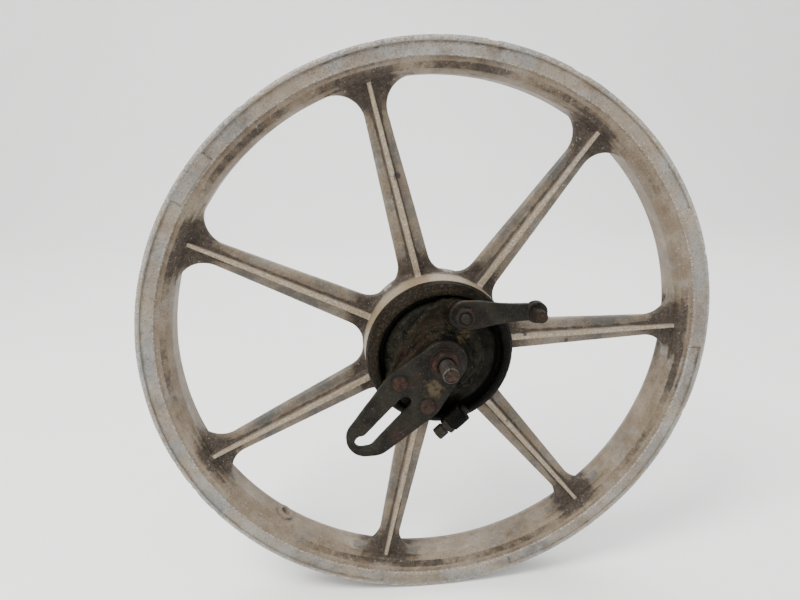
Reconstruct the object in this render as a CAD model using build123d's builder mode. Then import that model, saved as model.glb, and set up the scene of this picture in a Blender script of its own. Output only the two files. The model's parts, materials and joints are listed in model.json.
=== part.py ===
from build123d import *
from math import cos, radians, sin, sqrt
import os

os.makedirs("parts", exist_ok=True)

# Cast seven-spoke moped wheel with its drum brake. Millimetres.
# Frame: the wheel turns about Y, the origin is on the axis in the rim's middle plane, the brake
# side is -Y and +Z is up. "out" is a distance from the middle plane towards the brake side, so
# a thing at "out" 30 is at y = -30. Outlines turned about the axis are lists of (radius, y).

# ---- rim ----
flange_r = 228.6            # outer radius of the rim flanges
bead_r = 216.5              # bead seat of a 17-inch rim
well_r = 207.6              # floor of the tyre well
rim_bore_r = 203.6          # inner face of the rim, where the spokes end
rim_half = 22.3             # half the width over the flanges
flange_in = 17.8            # half the width between the flanges
band_r = (215.5, 224.5)     # recessed band on the side of each flange
band_out = 21.0
pad_spans = [(138, 148.5), (-3, 28), (258.5, 288.5)]    # raised blank pads, degrees
valve_angle = 231.0
valve_hole_r = 4.25
valve_boss_r = 8.0

# ---- spokes ----
spoke_count = 7
spoke_phase = 1.43          # first spoke, degrees from +X towards +Z
web_out = 4.5               # middle plane of the flat spoke webs
web_thick = 7.0
web_half, web_half_at, web_taper = 10.5, 125.0, 0.0344  # half width, where, and loss per mm
window_fillet_rim = 21.0
window_fillet_hub = 19.0
rib_hub = dict(r=54.0, near=16.5, far=-7.5, crest=2.2, root=4.2)
rib_rim = dict(r=210.0, near=13.0, far=-4.5, crest=1.3, root=2.7)

# ---- hub and drum ----
hub_r = 57.0
hub_front = 34.5
hub_rear = 39.5
drum_r = 50.0               # braking surface
liner_r = 53.0
drum_back = 10.0
hub_boss_r = 22.0

# ---- axle and bearings (6201: 12 x 32 x 10) ----
axle_r = 6.0
axle_brake_end = 83.5
axle_far_end = 76.5
thread_r = 5.84              # the bare M12 thread beyond each nut, drawn plain
near_thread, far_thread = 67.0, -59.5
fit = 0.05                  # radial clearance of a running fit
bearing_r, bearing_w = 16.0, 10.0
near_bearing = 10.0         # out of the near bearing's inner face
far_bearing = -36.0         # out of the far bearing's outer face
ball_r, ball_pitch_r, ball_count = 2.9, 11.0, 7
groove_r = 3.1

# ---- brake plate, anchor arm, cam ----
plate_r = 57.0
pad_front = 53.5            # machined faces that the anchor arm and the lever stand on
plateau_front = 50.0
anchor_thick = 5.0
arm_angle = 227.0           # direction of the anchor arm
rivet_along, rivet_across, rivet_r = 33.4, 14.6, 4.0
brake_angle = 70.0          # direction from the axle to the cam
cam_at = 38.3               # distance from the axle to the cam spindle
pin_at = -36.4              # shoe pivot pin, on the other side of the axle
pin_r = 5.0
spindle_r = 6.0
lever_len = 53.8
lever_tilt = 1.1
lever_back = 54.5
lever_thick = 5.0
lining_r = 48.4
shoe_out = (13.0, 31.5)     # width of the brake linings
web_back, web_front = 19.5, 24.5                        # the shoes' webs
cam_half, cam_corner_r = (8.8, 4.9), 1.0                # half length and half thickness of the cam
shoe_swing = 2.0            # degrees that each shoe opens
spring_heights = (24.5, -24.0)                          # from the axle towards the cam
spring_hook = 29.5          # from the middle of a spring to each hook
cable_angle = 43.0          # direction of the cable adjuster
cable_foot = (5.9, -51.9)   # (x, z) of the lock nut's face on the adjuster lug
cable_out = 53.0


def turn(angle, along, across=0.0):
    """(x, z) of a point given along and across a direction, in degrees from +X towards +Z."""
    c, s = cos(radians(angle)), sin(radians(angle))
    return along * c - across * s, along * s + across * c


def save(piece, name):
    piece.part.label = name
    export_step(piece.part, f"parts/{name}.step")


def post(x, z, radius, out0, out1, mode=Mode.ADD):
    """A cylinder parallel to the axle, between two distances out."""
    with Locations(Location((x, -(out0 + out1) / 2, z), (90, 0, 0))):
        Cylinder(radius, out1 - out0, mode=mode)


def turned(outline):
    """A solid turned about the axle from one closed outline of (radius, y) points."""
    with BuildSketch(Plane.XY) as section:
        with BuildLine():
            Polyline(*outline, close=True)
        make_face()
    revolve(section.sketch, axis=Axis.Y)


def hex_nut(x, z, hole_r, across_flats, out0, out1, spin=0.0):
    """A nut whose corners are turned off at both faces."""
    corner = across_flats / sqrt(3)
    face_r, bevel = across_flats / 2 - 0.1, 0.7
    with BuildPart() as nut:
        with BuildSketch(Plane.XZ.offset(out0)):
            with Locations((x, z)):
                RegularPolygon(across_flats / 2, 6, major_radius=False, rotation=spin)
        extrude(amount=out1 - out0)
        with BuildSketch(Plane(origin=(x, 0, z), z_dir=(0, 0, 1))) as blank:
            with BuildLine():
                Polyline((0, -out0), (face_r, -out0), (corner + 0.1, -out0 - bevel),
                         (corner + 0.1, -out1 + bevel), (face_r, -out1), (0, -out1), close=True)
            make_face()
        revolve(blank.sketch, axis=Axis((x, 0, z), (0, 1, 0)), mode=Mode.INTERSECT)
        post(x, z, hole_r, out0 - 1, out1 + 1, Mode.SUBTRACT)
    return nut


# ---------------------------------------------------------------- wheel casting

def rim_inside():
    """The rim's inner face on the brake side, from the flange band to the middle plane."""
    return [(band_r[0], -20.7), (214.4, -19.4), (206.2, -15.4), (rim_bore_r, -9.2),
            (rim_bore_r, 0)]


def rim_section():
    """Closed half section of the rim on the brake side: well, bead seat, flange, inner face."""
    return [
        (well_r, 0), (well_r, -7.5), (214.6, -11.6), (bead_r, -flange_in), (227.2, -flange_in),
        (flange_r, -19.2), (flange_r, -20.9), (227.2, -rim_half), (224.9, -rim_half),
        (band_r[1], -band_out), *rim_inside(),
    ]


def make_rim():
    with BuildPart() as rim:
        with BuildSketch(Plane.XY) as section:
            with BuildLine():
                Polyline(*rim_section(), close=True)
            make_face()
            fillet(section.vertices().filter_by(lambda v: v.X < 207 and v.Y < -9), 5)
            mirror(about=Plane.XZ)
        revolve(axis=Axis.Y)
        for start, end in pad_spans:
            with BuildSketch(Plane.XZ.offset(band_out - 1)) as pad:
                with BuildLine():
                    low = CenterArc((0, 0), band_r[0] + 0.3, start, end - start)
                    high = CenterArc((0, 0), band_r[1] + 0.2, start, end - start)
                    Line(low @ 0, high @ 0)
                    Line(low @ 1, high @ 1)
                make_face()
            extrude(amount=rim_half - 0.2 - (band_out - 1))
        x, z = turn(valve_angle, rim_bore_r)
        towards = (x / rim_bore_r, 0, z / rim_bore_r)
        with Locations(Plane(origin=(x, 0, z), z_dir=towards)):
            Cylinder(valve_boss_r, 5)
            Cylinder(valve_hole_r, 14, mode=Mode.SUBTRACT)
    return rim


def spoke_edge(radius, side):
    """Where a spoke's straight edge meets a circle about the axle, as (along, across)."""
    a = 1 + web_taper ** 2
    w = web_half + web_taper * web_half_at
    b, c = -2 * w * web_taper, w * w - radius * radius
    along = (-b + sqrt(b * b - 4 * a * c)) / (2 * a)
    return along, side * (w - web_taper * along)


def rib_section(end):
    """Tall hexagon across a spoke: crest, root at the web, far crest. Local y points out."""
    return [
        (end["crest"], end["near"]), (end["root"], web_out), (end["crest"], end["far"]),
        (-end["crest"], end["far"]), (-end["root"], web_out), (-end["crest"], end["near"]),
    ]


def make_spokes():
    """Seven webs with ribs: a disc less its windows, trimmed by the hub and by the rim."""
    step = 360 / spoke_count
    trim = 0.1
    outer_r, inner_r = rim_bore_r + trim, hub_r - trim
    with BuildPart() as spokes:
        with BuildSketch(Plane.XZ.offset(web_out - web_thick / 2)):
            Circle(outer_r + 3)
            Circle(inner_r - 3, mode=Mode.SUBTRACT)
        extrude(amount=web_thick)
        for k in range(spoke_count):
            phi = spoke_phase + k * step
            a = turn(phi, *spoke_edge(inner_r, 1))
            b = turn(phi, *spoke_edge(outer_r, 1))
            c = turn(phi + step, *spoke_edge(outer_r, -1))
            d = turn(phi + step, *spoke_edge(inner_r, -1))
            with BuildSketch(Plane.XZ.offset(web_out - web_thick)) as window:
                with BuildLine():
                    Line(a, b)
                    ThreePointArc(b, turn(phi + step / 2, outer_r), c)
                    Line(c, d)
                    ThreePointArc(d, turn(phi + step / 2, inner_r), a)
                make_face()
                corners = window.vertices().sort_by(lambda v: v.X ** 2 + v.Y ** 2)
                fillet(corners[2:], window_fillet_rim)
                corners = window.vertices().filter_by(lambda v: v.X ** 2 + v.Y ** 2 < 60 ** 2)
                fillet(corners.sort_by(lambda v: v.X ** 2 + v.Y ** 2)[:2], window_fillet_hub)
            extrude(amount=2 * web_thick, mode=Mode.SUBTRACT)
        for k in range(spoke_count):
            phi = spoke_phase + k * step
            radial = (cos(radians(phi)), 0, sin(radians(phi)))
            lateral = (-radial[2], 0, radial[0])
            with BuildPart(mode=Mode.PRIVATE) as rib:
                for end in (rib_hub, rib_rim):
                    origin = (radial[0] * end["r"], 0, radial[2] * end["r"])
                    with BuildSketch(Plane(origin=origin, x_dir=lateral, z_dir=radial)):
                        with BuildLine():
                            Polyline(*rib_section(end), close=True)
                        make_face()
                loft(ruled=True)
            add(rib.part)
        with BuildSketch(Plane.XY) as core:
            with BuildLine():
                Polyline(*hub_outer(), (0, hub_rear), (0, -hub_front), close=True)
            make_face()
        revolve(core.sketch, axis=Axis.Y, mode=Mode.SUBTRACT)
        with BuildSketch(Plane.XY) as rim_zone:
            with BuildLine():
                Polyline((flange_r, 0), (flange_r, -rim_half), *rim_inside(), close=True)
            make_face()
            fillet(rim_zone.vertices().filter_by(lambda v: v.X < 207 and v.Y < -9), 5)
            mirror(about=Plane.XZ)
        revolve(rim_zone.sketch, axis=Axis.Y, mode=Mode.SUBTRACT)
    return spokes


def hub_outer():
    """Outside of the drum wall as (radius, y), front to back."""
    return [(56.0, -hub_front), (hub_r, -18.0), (hub_r, 4.0), (55.0, 6.0)]


def make_hub():
    gusset_foot, gusset_top = 6.0, 30.0
    with BuildPart() as hub:
        turned([
            (liner_r, -hub_front), *hub_outer(), (49.0, 6.0), (47.0, -3.5), (26.0, -3.5),
            (23.5, hub_rear - 3), (22.5, hub_rear), (bearing_r, hub_rear),
            (bearing_r, -far_bearing - bearing_w), (13.5, -far_bearing - bearing_w),
            (13.5, -near_bearing), (bearing_r, -near_bearing), (bearing_r, -near_bearing - 11),
            (hub_boss_r - 1, -near_bearing - 11), (hub_boss_r, -near_bearing - 9),
            (hub_boss_r + 2, -drum_back), (liner_r, -drum_back),
        ])
        with BuildSketch(Plane.XY) as gusset:
            with BuildLine():
                Polyline((20, -5), (50, -5), (50, gusset_foot), (24, gusset_top), (20, gusset_top),
                         close=True)
            make_face()
        with BuildPart(mode=Mode.PRIVATE) as plain_gusset:
            extrude(gusset.sketch, amount=2.5, both=True)
        for k in range(spoke_count):
            with Locations(Location((0, 0, 0), (0, -spoke_phase - k * 360 / spoke_count, 0))):
                add(plain_gusset.part)
        # groove for the circlip that holds the far bearing
        with Locations(Location((0, 0.8 - far_bearing, 0), (90, 0, 0))):
            Cylinder(bearing_r + 0.8, 1.3, mode=Mode.SUBTRACT)
    return hub


def make_liner():
    with BuildPart() as liner:
        turned([(drum_r, -hub_front), (liner_r, -hub_front), (liner_r, -drum_back),
                (drum_r, -drum_back)])
        chamfer(liner.edges().filter_by(GeomType.CIRCLE).sort_by(SortBy.RADIUS)[0:1], 0.6)
    return liner


# ---------------------------------------------------------------- axle and bearings

def make_axle():
    """Shank between the nuts, with a bare thread and a chamfer at each end."""
    tip = 1.1
    with BuildPart() as axle:
        turned([(0, axle_far_end), (thread_r - tip, axle_far_end), (thread_r, axle_far_end - tip),
                (thread_r, -far_thread), (axle_r, -far_thread), (axle_r, -near_thread),
                (thread_r, -near_thread), (thread_r, tip - axle_brake_end),
                (thread_r - tip, -axle_brake_end), (0, -axle_brake_end)])
    return axle


def bearing_pieces(out0):
    """Outer ring, inner ring, balls, cage and shields of one ball bearing, as builders."""
    out1 = out0 + bearing_w
    mid = (out0 + out1) / 2
    shoulder_out, shoulder_in = 13.4, 8.6
    with BuildPart() as outer:
        turned([(shoulder_out, -out0), (bearing_r, -out0), (bearing_r, -out1),
                (shoulder_out, -out1)])
        with Locations((0, -mid, 0)):
            Torus(ball_pitch_r, groove_r, rotation=(90, 0, 0), mode=Mode.SUBTRACT)
    with BuildPart() as inner:
        turned([(axle_r, -out0), (shoulder_in, -out0), (shoulder_in, -out1), (axle_r, -out1)])
        with Locations((0, -mid, 0)):
            Torus(ball_pitch_r, groove_r, rotation=(90, 0, 0), mode=Mode.SUBTRACT)
    seats = [turn(k * 360 / ball_count, ball_pitch_r) for k in range(ball_count)]
    with BuildPart() as balls:
        with Locations(*[(x, -mid, z) for x, z in seats]):
            Sphere(ball_r)
    with BuildPart() as cage:
        turned([(10.3, 3.7 - mid), (11.7, 3.7 - mid), (11.7, -3.7 - mid), (10.3, -3.7 - mid)])
        for x, z in seats:
            with Locations(Plane(origin=(x, -mid, z), z_dir=(x, 0, z))):
                Cylinder(groove_r, 4, mode=Mode.SUBTRACT)
    with BuildPart() as shields:
        for face in (out0 + 0.1, out1 - 0.8):
            turned([(8.9, -face), (shoulder_out, -face), (shoulder_out, -face - 0.7),
                    (8.9, -face - 0.7)])
    return dict(outer_ring=outer, inner_ring=inner, balls=balls, cage=cage, shields=shields)


def make_sleeve(bore, radius, out0, out1):
    with BuildPart() as sleeve:
        turned([(bore, -out0), (radius, -out0), (radius, -out1), (bore, -out1)])
    return sleeve


def make_circlip():
    """Split ring in the groove outside the far bearing, with two eared ends."""
    y0, y1 = 36.25, 37.35
    with BuildPart() as clip:
        turned([(13.9, y0), (16.75, y0), (16.75, y1), (13.9, y1)])
        with Locations(Location((0, (y0 + y1) / 2, 12), (0, 0, 0))):
            Box(7, 3, 12, mode=Mode.SUBTRACT)
        for side in (-1, 1):
            with Locations(Location((side * 5.2, (y0 + y1) / 2, 12.6), (90, 0, 0))):
                Cylinder(2.0, y1 - y0)
                Cylinder(0.8, 3, mode=Mode.SUBTRACT)
    return clip


# ---------------------------------------------------------------- brake plate

def make_plate():
    cam_x, cam_z = turn(brake_angle, cam_at)
    pin_x, pin_z = turn(brake_angle, pin_at)
    with BuildPart() as plate:
        turned([
            (axle_r, -27), (14, -27), (14, -41), (17, -43.5), (38, -41), (42, -38.5),
            (45, -36), (47.2, -36), (47.2, -32.5), (49.4, -32.5), (49.4, -35.3), (56.5, -35.3),
            (plate_r, -35.8), (56.9, -38.5), (55.8, -41.5), (53.6, -44.3), (51, -46), (49.4, -46.4),
            (47.9, -45.4), (46.9, -41.5), (45.9, -40), (44.6, -40.2), (42.6, -42.8),
            (40.2, -44.9), (37, -46.3), (30, -47.5), (23.5, -48.5), (22.3, -50),
            (21.5, -pad_front), (axle_r, -pad_front),
        ])
        # raised plateau: a disc about the axle and a crescent from the cam to the anchor arm
        with BuildSketch(Plane.XZ.offset(44)) as plateau:
            Circle(31)
            with BuildSketch(mode=Mode.PRIVATE) as crescent:
                Circle(45.2)
                with Locations((54.0, -33.6)):
                    Circle(96, mode=Mode.INTERSECT)
                with Locations(Location(turn(arm_angle, 0, -40), arm_angle)):
                    Rectangle(120, 80, mode=Mode.INTERSECT)
            add(crescent.sketch)
        extrude(amount=plateau_front - 44)
        # seat under the anchor arm and its rivets
        with BuildSketch(Plane.XZ.offset(44)) as seat:
            with Locations(Location(turn(arm_angle, 24, 0), arm_angle)):
                Rectangle(46, 43)
            Circle(45.0, mode=Mode.INTERSECT)
        extrude(amount=pad_front - 44)
        post(cam_x, cam_z, 11.5, 36, pad_front)
        post(cam_x, cam_z, 9.5, 28, 40)
        post(pin_x, pin_z, 8.0, web_front + 0.3, 48)
        rivet_x, rivet_z = turn(arm_angle, rivet_along, -rivet_across)
        # lug that the cable adjuster screws into
        foot_x, foot_z = cable_foot
        tip_x, tip_z = turn(cable_angle, 14)
        middle = (foot_x + tip_x / 2, -cable_out, foot_z + tip_z / 2)
        along = (tip_x / 14, 0, tip_z / 14)
        with Locations(Plane(origin=middle, x_dir=(0, 1, 0), z_dir=along)):
            Cylinder(7.5, 14)
            with Locations((6, 0, 0)):
                Box(9, 13, 14)
        with Locations(Plane(origin=middle, x_dir=(0, 1, 0), z_dir=along)):
            Cylinder(4 + fit, 30, mode=Mode.SUBTRACT)
        post(0, 0, axle_r, 20, 60, Mode.SUBTRACT)
        post(cam_x, cam_z, spindle_r, 20, 60, Mode.SUBTRACT)
        post(pin_x, pin_z, pin_r, 20, 60, Mode.SUBTRACT)
        post(rivet_x, rivet_z, rivet_r, 30, 60, Mode.SUBTRACT)
    return plate


def make_anchor_arm():
    """Flat arm: the hull of the axle eye, the two rivet corners and the round tip."""
    with BuildPart() as arm:
        with BuildSketch(Plane.XZ.offset(pad_front)) as outline:
            Circle(17)
            for along, across, radius in [
                (rivet_along, rivet_across, 9.7), (rivet_along, -rivet_across, 9.7),
                (83, -3, 15.2), (79, 1.8, 14.6),
            ]:
                with Locations(turn(arm_angle, along, across)):
                    Circle(radius)
            make_hull()
        extrude(amount=anchor_thick)
        for start, end in [((42.3, -0.7), (84.0, -0.9)), ((84.0, -0.9), (87.8, -3.9))]:
            with BuildSketch(Plane.XZ.offset(pad_front - 1)) as slot:
                for along, across in (start, end):
                    with Locations(turn(arm_angle, along, across)):
                        Circle(4.8)
                make_hull()
            extrude(amount=anchor_thick + 2, mode=Mode.SUBTRACT)
        post(0, 0, axle_r, 50, 60, Mode.SUBTRACT)
        pin_x, pin_z = turn(brake_angle, pin_at)
        rivet_x, rivet_z = turn(arm_angle, rivet_along, -rivet_across)
        post(rivet_x, rivet_z, rivet_r, 50, 60, Mode.SUBTRACT)
        post(pin_x, pin_z, pin_r, 50, 60, Mode.SUBTRACT)
    return arm


def domed_head(x, z, radius, out):
    """Rivet head: a shallow dome standing on a short cylinder."""
    rise, step = 2.2, 0.6
    ball = (radius ** 2 + rise ** 2) / (2 * rise)
    with BuildPart() as head:
        with Locations((x, -(out + step + rise - ball), z)):
            Sphere(ball)
        post(x, z, radius, out, out + step + rise + 1, Mode.INTERSECT)
    add(head.part)


def make_anchor_rivet():
    x, z = turn(arm_angle, rivet_along, -rivet_across)
    face = pad_front + anchor_thick
    with BuildPart() as rivet:
        post(x, z, rivet_r, 43.5, face)
        domed_head(x, z, 6.3, face)
    return rivet


def make_pivot_pin():
    x, z = turn(brake_angle, pin_at)
    face = pad_front + anchor_thick
    with BuildPart() as pin:
        post(x, z, pin_r, web_back - 3.5, face)
        domed_head(x, z, 6.3, face)
        post(x, z, pin_r + 1, web_back - 1.5, web_back - 0.3, Mode.SUBTRACT)
        post(x, z, pin_r - 0.8, web_back - 2, web_back)
    return pin


def make_pin_clip():
    x, z = turn(brake_angle, pin_at)
    with BuildPart() as clip:
        post(x, z, 8.2, web_back - 1.35, web_back - 0.45)
        post(x, z, pin_r - 0.75, web_back - 2, web_back, Mode.SUBTRACT)
        with Locations((x, 0.9 - web_back, z - 6)):
            Box(6, 4, 10, mode=Mode.SUBTRACT)
    return clip


# ---------------------------------------------------------------- cam and lever

def make_spindle():
    x, z = turn(brake_angle, cam_at)
    with BuildPart() as spindle:
        post(x, z, spindle_r - fit, 27.5, lever_back)
        post(x, z, 5.0, lever_back, lever_back + lever_thick + 0.1)
        post(x, z, 4.0, lever_back + lever_thick, 67.5)
        with BuildSketch(Plane.XZ.offset(16)) as cam:
            with Locations(Location((x, z), brake_angle)):
                Rectangle(2 * cam_half[0], 2 * cam_half[1])
            fillet(cam.vertices(), cam_corner_r)
        extrude(amount=11.5)
        tip = spindle.faces().sort_by(Axis.Y)[0]
        chamfer(tip.edges(), 0.8)
    return spindle


def make_lever():
    x, z = turn(brake_angle, cam_at)
    half = [(0, 10.7), (12, 10.3), (22, 8.4), (34, 7.0), (lever_len - 3, 6.3)]
    with BuildPart() as lever:
        with BuildSketch(Plane.XZ.offset(lever_back)) as outline:
            with BuildLine(Plane.XY):
                points = half + [(a, -b) for a, b in reversed(half)]
                moved = [turn(lever_tilt, a, b) for a, b in points]
                Polyline(*[(x + a, z + b) for a, b in moved], close=True)
            make_face()
            with Locations((x, z)):
                Circle(10.7)
        extrude(amount=lever_thick)
        fillet(lever.faces().sort_by(Axis.Y)[0].edges().filter_by(GeomType.LINE), 0.8)
        eye_x, eye_z = turn(lever_tilt, lever_len)
        post(x + eye_x, z + eye_z, 8.0, lever_back, lever_back + 7)
        post(x + eye_x, z + eye_z, 4.5, 50, 70, Mode.SUBTRACT)
        post(x, z, 5.0, 50, 70, Mode.SUBTRACT)
    return lever


def make_cable_pin():
    """Barrel in the lever's eye, with a collar in front, a clip groove behind and a cable hole."""
    x, z = turn(brake_angle, cam_at)
    eye_x, eye_z = turn(lever_tilt, lever_len)
    x, z = x + eye_x, z + eye_z
    with BuildPart() as pin:
        post(x, z, 4.5 - fit, lever_back - 3.5, 72.5)
        post(x, z, 5.6, lever_back + 7.3, lever_back + 8.8)
        chamfer(pin.faces().sort_by(Axis.Y)[0].edges(), 0.6)
        post(x, z, 5, lever_back - 2.0, lever_back - 0.8, Mode.SUBTRACT)
        post(x, z, 3.8, lever_back - 2.5, lever_back - 0.4)
        along = (cos(radians(cable_angle)), 0, sin(radians(cable_angle)))
        with Locations(Plane(origin=(x, -68.5, z), z_dir=along)):
            Cylinder(1.3, 12, mode=Mode.SUBTRACT)
    return pin


def make_cable_pin_clip():
    x, z = turn(brake_angle, cam_at)
    eye_x, eye_z = turn(lever_tilt, lever_len)
    x, z = x + eye_x, z + eye_z
    with BuildPart() as clip:
        post(x, z, 7.0, lever_back - 1.85, lever_back - 0.95)
        post(x, z, 3.85, 50, 56, Mode.SUBTRACT)
        with Locations((x, -lever_back + 1.4, z - 5)):
            Box(5, 3, 8, mode=Mode.SUBTRACT)
    return clip


# ---------------------------------------------------------------- shoes and springs

def shoe_plane(out):
    """Sketch plane whose x runs across the shoes (towards 340 degrees) and y towards the cam."""
    across = turn(brake_angle - 90, 1)
    return Plane(origin=(0, -out, 0), x_dir=(across[0], 0, across[1]), z_dir=(0, -1, 0))


def make_shoe(side):
    """One brake shoe on side +1 or -1: a curved table, a web with two seats and a rib."""
    start, sweep = (-58, 122) if side > 0 else (180 + 58, -122)
    table_r, table_thick = lining_r - 4.0, 3.2
    with BuildPart() as shoe:
        with BuildSketch(shoe_plane(shoe_out[0])) as table:
            with BuildLine():
                low = CenterArc((0, 0), table_r - table_thick, start, sweep)
                high = CenterArc((0, 0), table_r, start, sweep)
                Line(low @ 0, high @ 0)
                Line(low @ 1, high @ 1)
            make_face()
        extrude(amount=shoe_out[1] - shoe_out[0])
        with BuildSketch(shoe_plane(web_back)) as web:
            with BuildLine():
                inner = ThreePointArc((side * 1.0, -26), (side * 28.5, 3), (side * 5.2, 31.5))
                Polyline(inner @ 1, (side * 5.2, 46.5), (side * 9, 46), (side * 13, 40.8))
                outer = ThreePointArc((side * 13, 40.8), (side * 42.8, 0), (side * 1.0, -42.6))
                Line(outer @ 1, inner @ 0)
            make_face()
            with Locations((0, pin_at)):
                Circle(pin_r + 0.1, mode=Mode.SUBTRACT)
        extrude(amount=web_front - web_back)
        for height in spring_heights:
            swing = radians(shoe_swing)
            inward, up = (height - pin_at) * swing, spring_hook * swing
            with BuildSketch(shoe_plane(web_back - 5)) as hook_slot:
                with Locations((side * spring_hook, height),
                               (side * (spring_hook - inward), height + up)):
                    Circle(1.1)
                make_hull()
            extrude(amount=15, mode=Mode.SUBTRACT)
    return shoe


def make_lining(side):
    start, sweep = (-54, 112) if side > 0 else (180 + 54, -112)
    with BuildPart() as lining:
        with BuildSketch(shoe_plane(shoe_out[0])) as strip:
            with BuildLine():
                low = CenterArc((0, 0), lining_r - 4.0, start, sweep)
                high = CenterArc((0, 0), lining_r, start, sweep)
                Line(low @ 0, high @ 0)
                Line(low @ 1, high @ 1)
            make_face()
        extrude(amount=shoe_out[1] - shoe_out[0])
    return lining


def make_spring(height):
    """Close-wound return spring across the shoes: a turned body of coils and two hooked ends."""
    wire_r, coil_r, half_len = 0.6, 3.0, 14.0
    coils = int(2 * half_len / (2.2 * wire_r))
    plane = shoe_plane(28.8)
    centre = plane.from_local_coords((0, height, 0))
    axis_dir = plane.x_dir
    with BuildPart() as spring:
        with BuildSketch(Plane(origin=centre, x_dir=axis_dir, z_dir=(0, -1, 0))) as half:
            with BuildLine():
                left, right = (-half_len, 0), (half_len, 0)
                Polyline(left, (-half_len, coil_r - wire_r), (half_len, coil_r - wire_r), right,
                         close=True)
            make_face()
            for k in range(coils + 1):
                with Locations((-half_len + wire_r + k * (2 * half_len - 2 * wire_r) / coils,
                                coil_r - wire_r)):
                    Circle(wire_r)
        revolve(axis=Axis(centre, axis_dir))
        for side in (-1, 1):
            hook = plane.from_local_coords((side * spring_hook, height, 0))
            with BuildLine(Plane.XY) as wire:
                start = plane.from_local_coords((side * (half_len - 1), height, 0))
                bend = plane.from_local_coords((side * (spring_hook - 2.5), height, 0))
                turn_in = plane.from_local_coords((side * spring_hook, height, -2.5))
                end = plane.from_local_coords((side * spring_hook, height, -10.2))
                run = Line(start, bend)
                arc = TangentArc(bend, turn_in, tangent=run % 1)
                Line(turn_in, end)
            with BuildSketch(Plane(origin=start, z_dir=run % 0)):
                Circle(wire_r)
            sweep(path=wire.wires()[0])
    return spring


# ---------------------------------------------------------------- cable adjuster

def cable_plane(along):
    """Plane square to the adjuster, at a distance along it from the lock nut's face."""
    x, z = turn(cable_angle, along)
    direction = turn(cable_angle, 1)
    return Plane(origin=(cable_foot[0] + x, -cable_out, cable_foot[1] + z),
                 x_dir=(0, 1, 0), z_dir=(direction[0], 0, direction[1]))


def make_adjuster():
    with BuildPart() as adjuster:
        with BuildSketch(cable_plane(-13.6)):
            Circle(5.0)
        extrude(amount=7.6)
        chamfer(adjuster.edges().filter_by(GeomType.CIRCLE), 0.5)
        with BuildSketch(cable_plane(-6.2)):
            Circle(4.0)
        extrude(amount=6.2 + 17)
        with BuildSketch(cable_plane(-13.6)):
            Circle(3.1)
        extrude(amount=9, mode=Mode.SUBTRACT)
        with BuildSketch(cable_plane(-6)):
            Circle(1.4)
        extrude(amount=24, mode=Mode.SUBTRACT)
    return adjuster


def make_lock_nut():
    with BuildPart() as nut:
        with BuildSketch(cable_plane(-4.6)) as face:
            RegularPolygon(6.0, 6, major_radius=False, rotation=30)
            Circle(4 + fit, mode=Mode.SUBTRACT)
        extrude(amount=4.5)
    return nut


# ---------------------------------------------------------------- write every piece

save(make_rim(), "wheel_rim")
save(make_spokes(), "wheel_spokes")
save(make_hub(), "hub_drum")
save(make_liner(), "drum_liner")
save(make_axle(), "axle")
for place, out0 in (("near", near_bearing), ("far", far_bearing)):
    for piece_name, piece in bearing_pieces(out0).items():
        save(piece, f"bearing_{place}_{piece_name}")
save(make_circlip(), "bearing_circlip")
save(make_sleeve(axle_r + 0.1, 8.6, far_bearing + bearing_w, near_bearing), "bearing_spacer_tube")
save(make_sleeve(axle_r, 9.0, near_bearing + bearing_w, 27.0), "plate_spacer")
save(make_sleeve(axle_r, 9.0, -50.0, far_bearing), "far_spacer")
save(make_sleeve(9.0 + fit, bearing_r, -39.3, -37.6), "far_dust_seal")
save(make_sleeve(axle_r, 12.0, -51.5, -50.0), "far_washer")
save(hex_nut(0, 0, axle_r, 19.0, -58.5, -51.5, 10), "far_axle_nut")
anchor_front = pad_front + anchor_thick
save(make_plate(), "brake_plate")
save(make_anchor_arm(), "anchor_arm")
save(make_anchor_rivet(), "anchor_rivet")
save(make_pivot_pin(), "shoe_pivot_pin")
save(make_pin_clip(), "pivot_pin_clip")
save(make_sleeve(axle_r, 11.5, anchor_front, anchor_front + 1.2), "brake_side_washer")
save(hex_nut(0, 0, axle_r, 19.0, anchor_front + 1.2, 66.0, 20), "brake_side_nut")
save(make_spindle(), "cam_spindle")
save(make_lever(), "brake_lever")
lever_front = lever_back + lever_thick
spindle_x, spindle_z = turn(brake_angle, cam_at)
with BuildPart() as lever_washer:
    post(spindle_x, spindle_z, 7.6, lever_front, lever_front + 1.2)
    post(spindle_x, spindle_z, 4.0, 55, 65, Mode.SUBTRACT)
    post(spindle_x, spindle_z, 5.0, 55, lever_front + 0.1, Mode.SUBTRACT)
save(lever_washer, "lever_washer")
save(hex_nut(spindle_x, spindle_z, 4.0, 13.0, lever_front + 1.2, 65.5, 25), "lever_nut")
save(make_cable_pin(), "cable_pin")
save(make_cable_pin_clip(), "cable_pin_clip")
for shoe_name, shoe_side in (("leading", 1), ("trailing", -1)):
    save(make_shoe(shoe_side), f"{shoe_name}_shoe")
    save(make_lining(shoe_side), f"{shoe_name}_lining")
for spring_name, spring_height in zip(("cam_end", "pin_end"), spring_heights):
    save(make_spring(spring_height), f"{spring_name}_spring")
save(make_adjuster(), "cable_adjuster")
save(make_lock_nut(), "adjuster_lock_nut")
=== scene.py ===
"""Cast seven-spoke moped wheel with its drum brake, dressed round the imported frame.

Sizes are in millimetres until a mesh is made. "out" is a distance from the wheel's middle plane
towards the brake side, so a point at "out" 30 is at y = -30. Angles run from +X towards +Z.
"""
import json
import math

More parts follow.
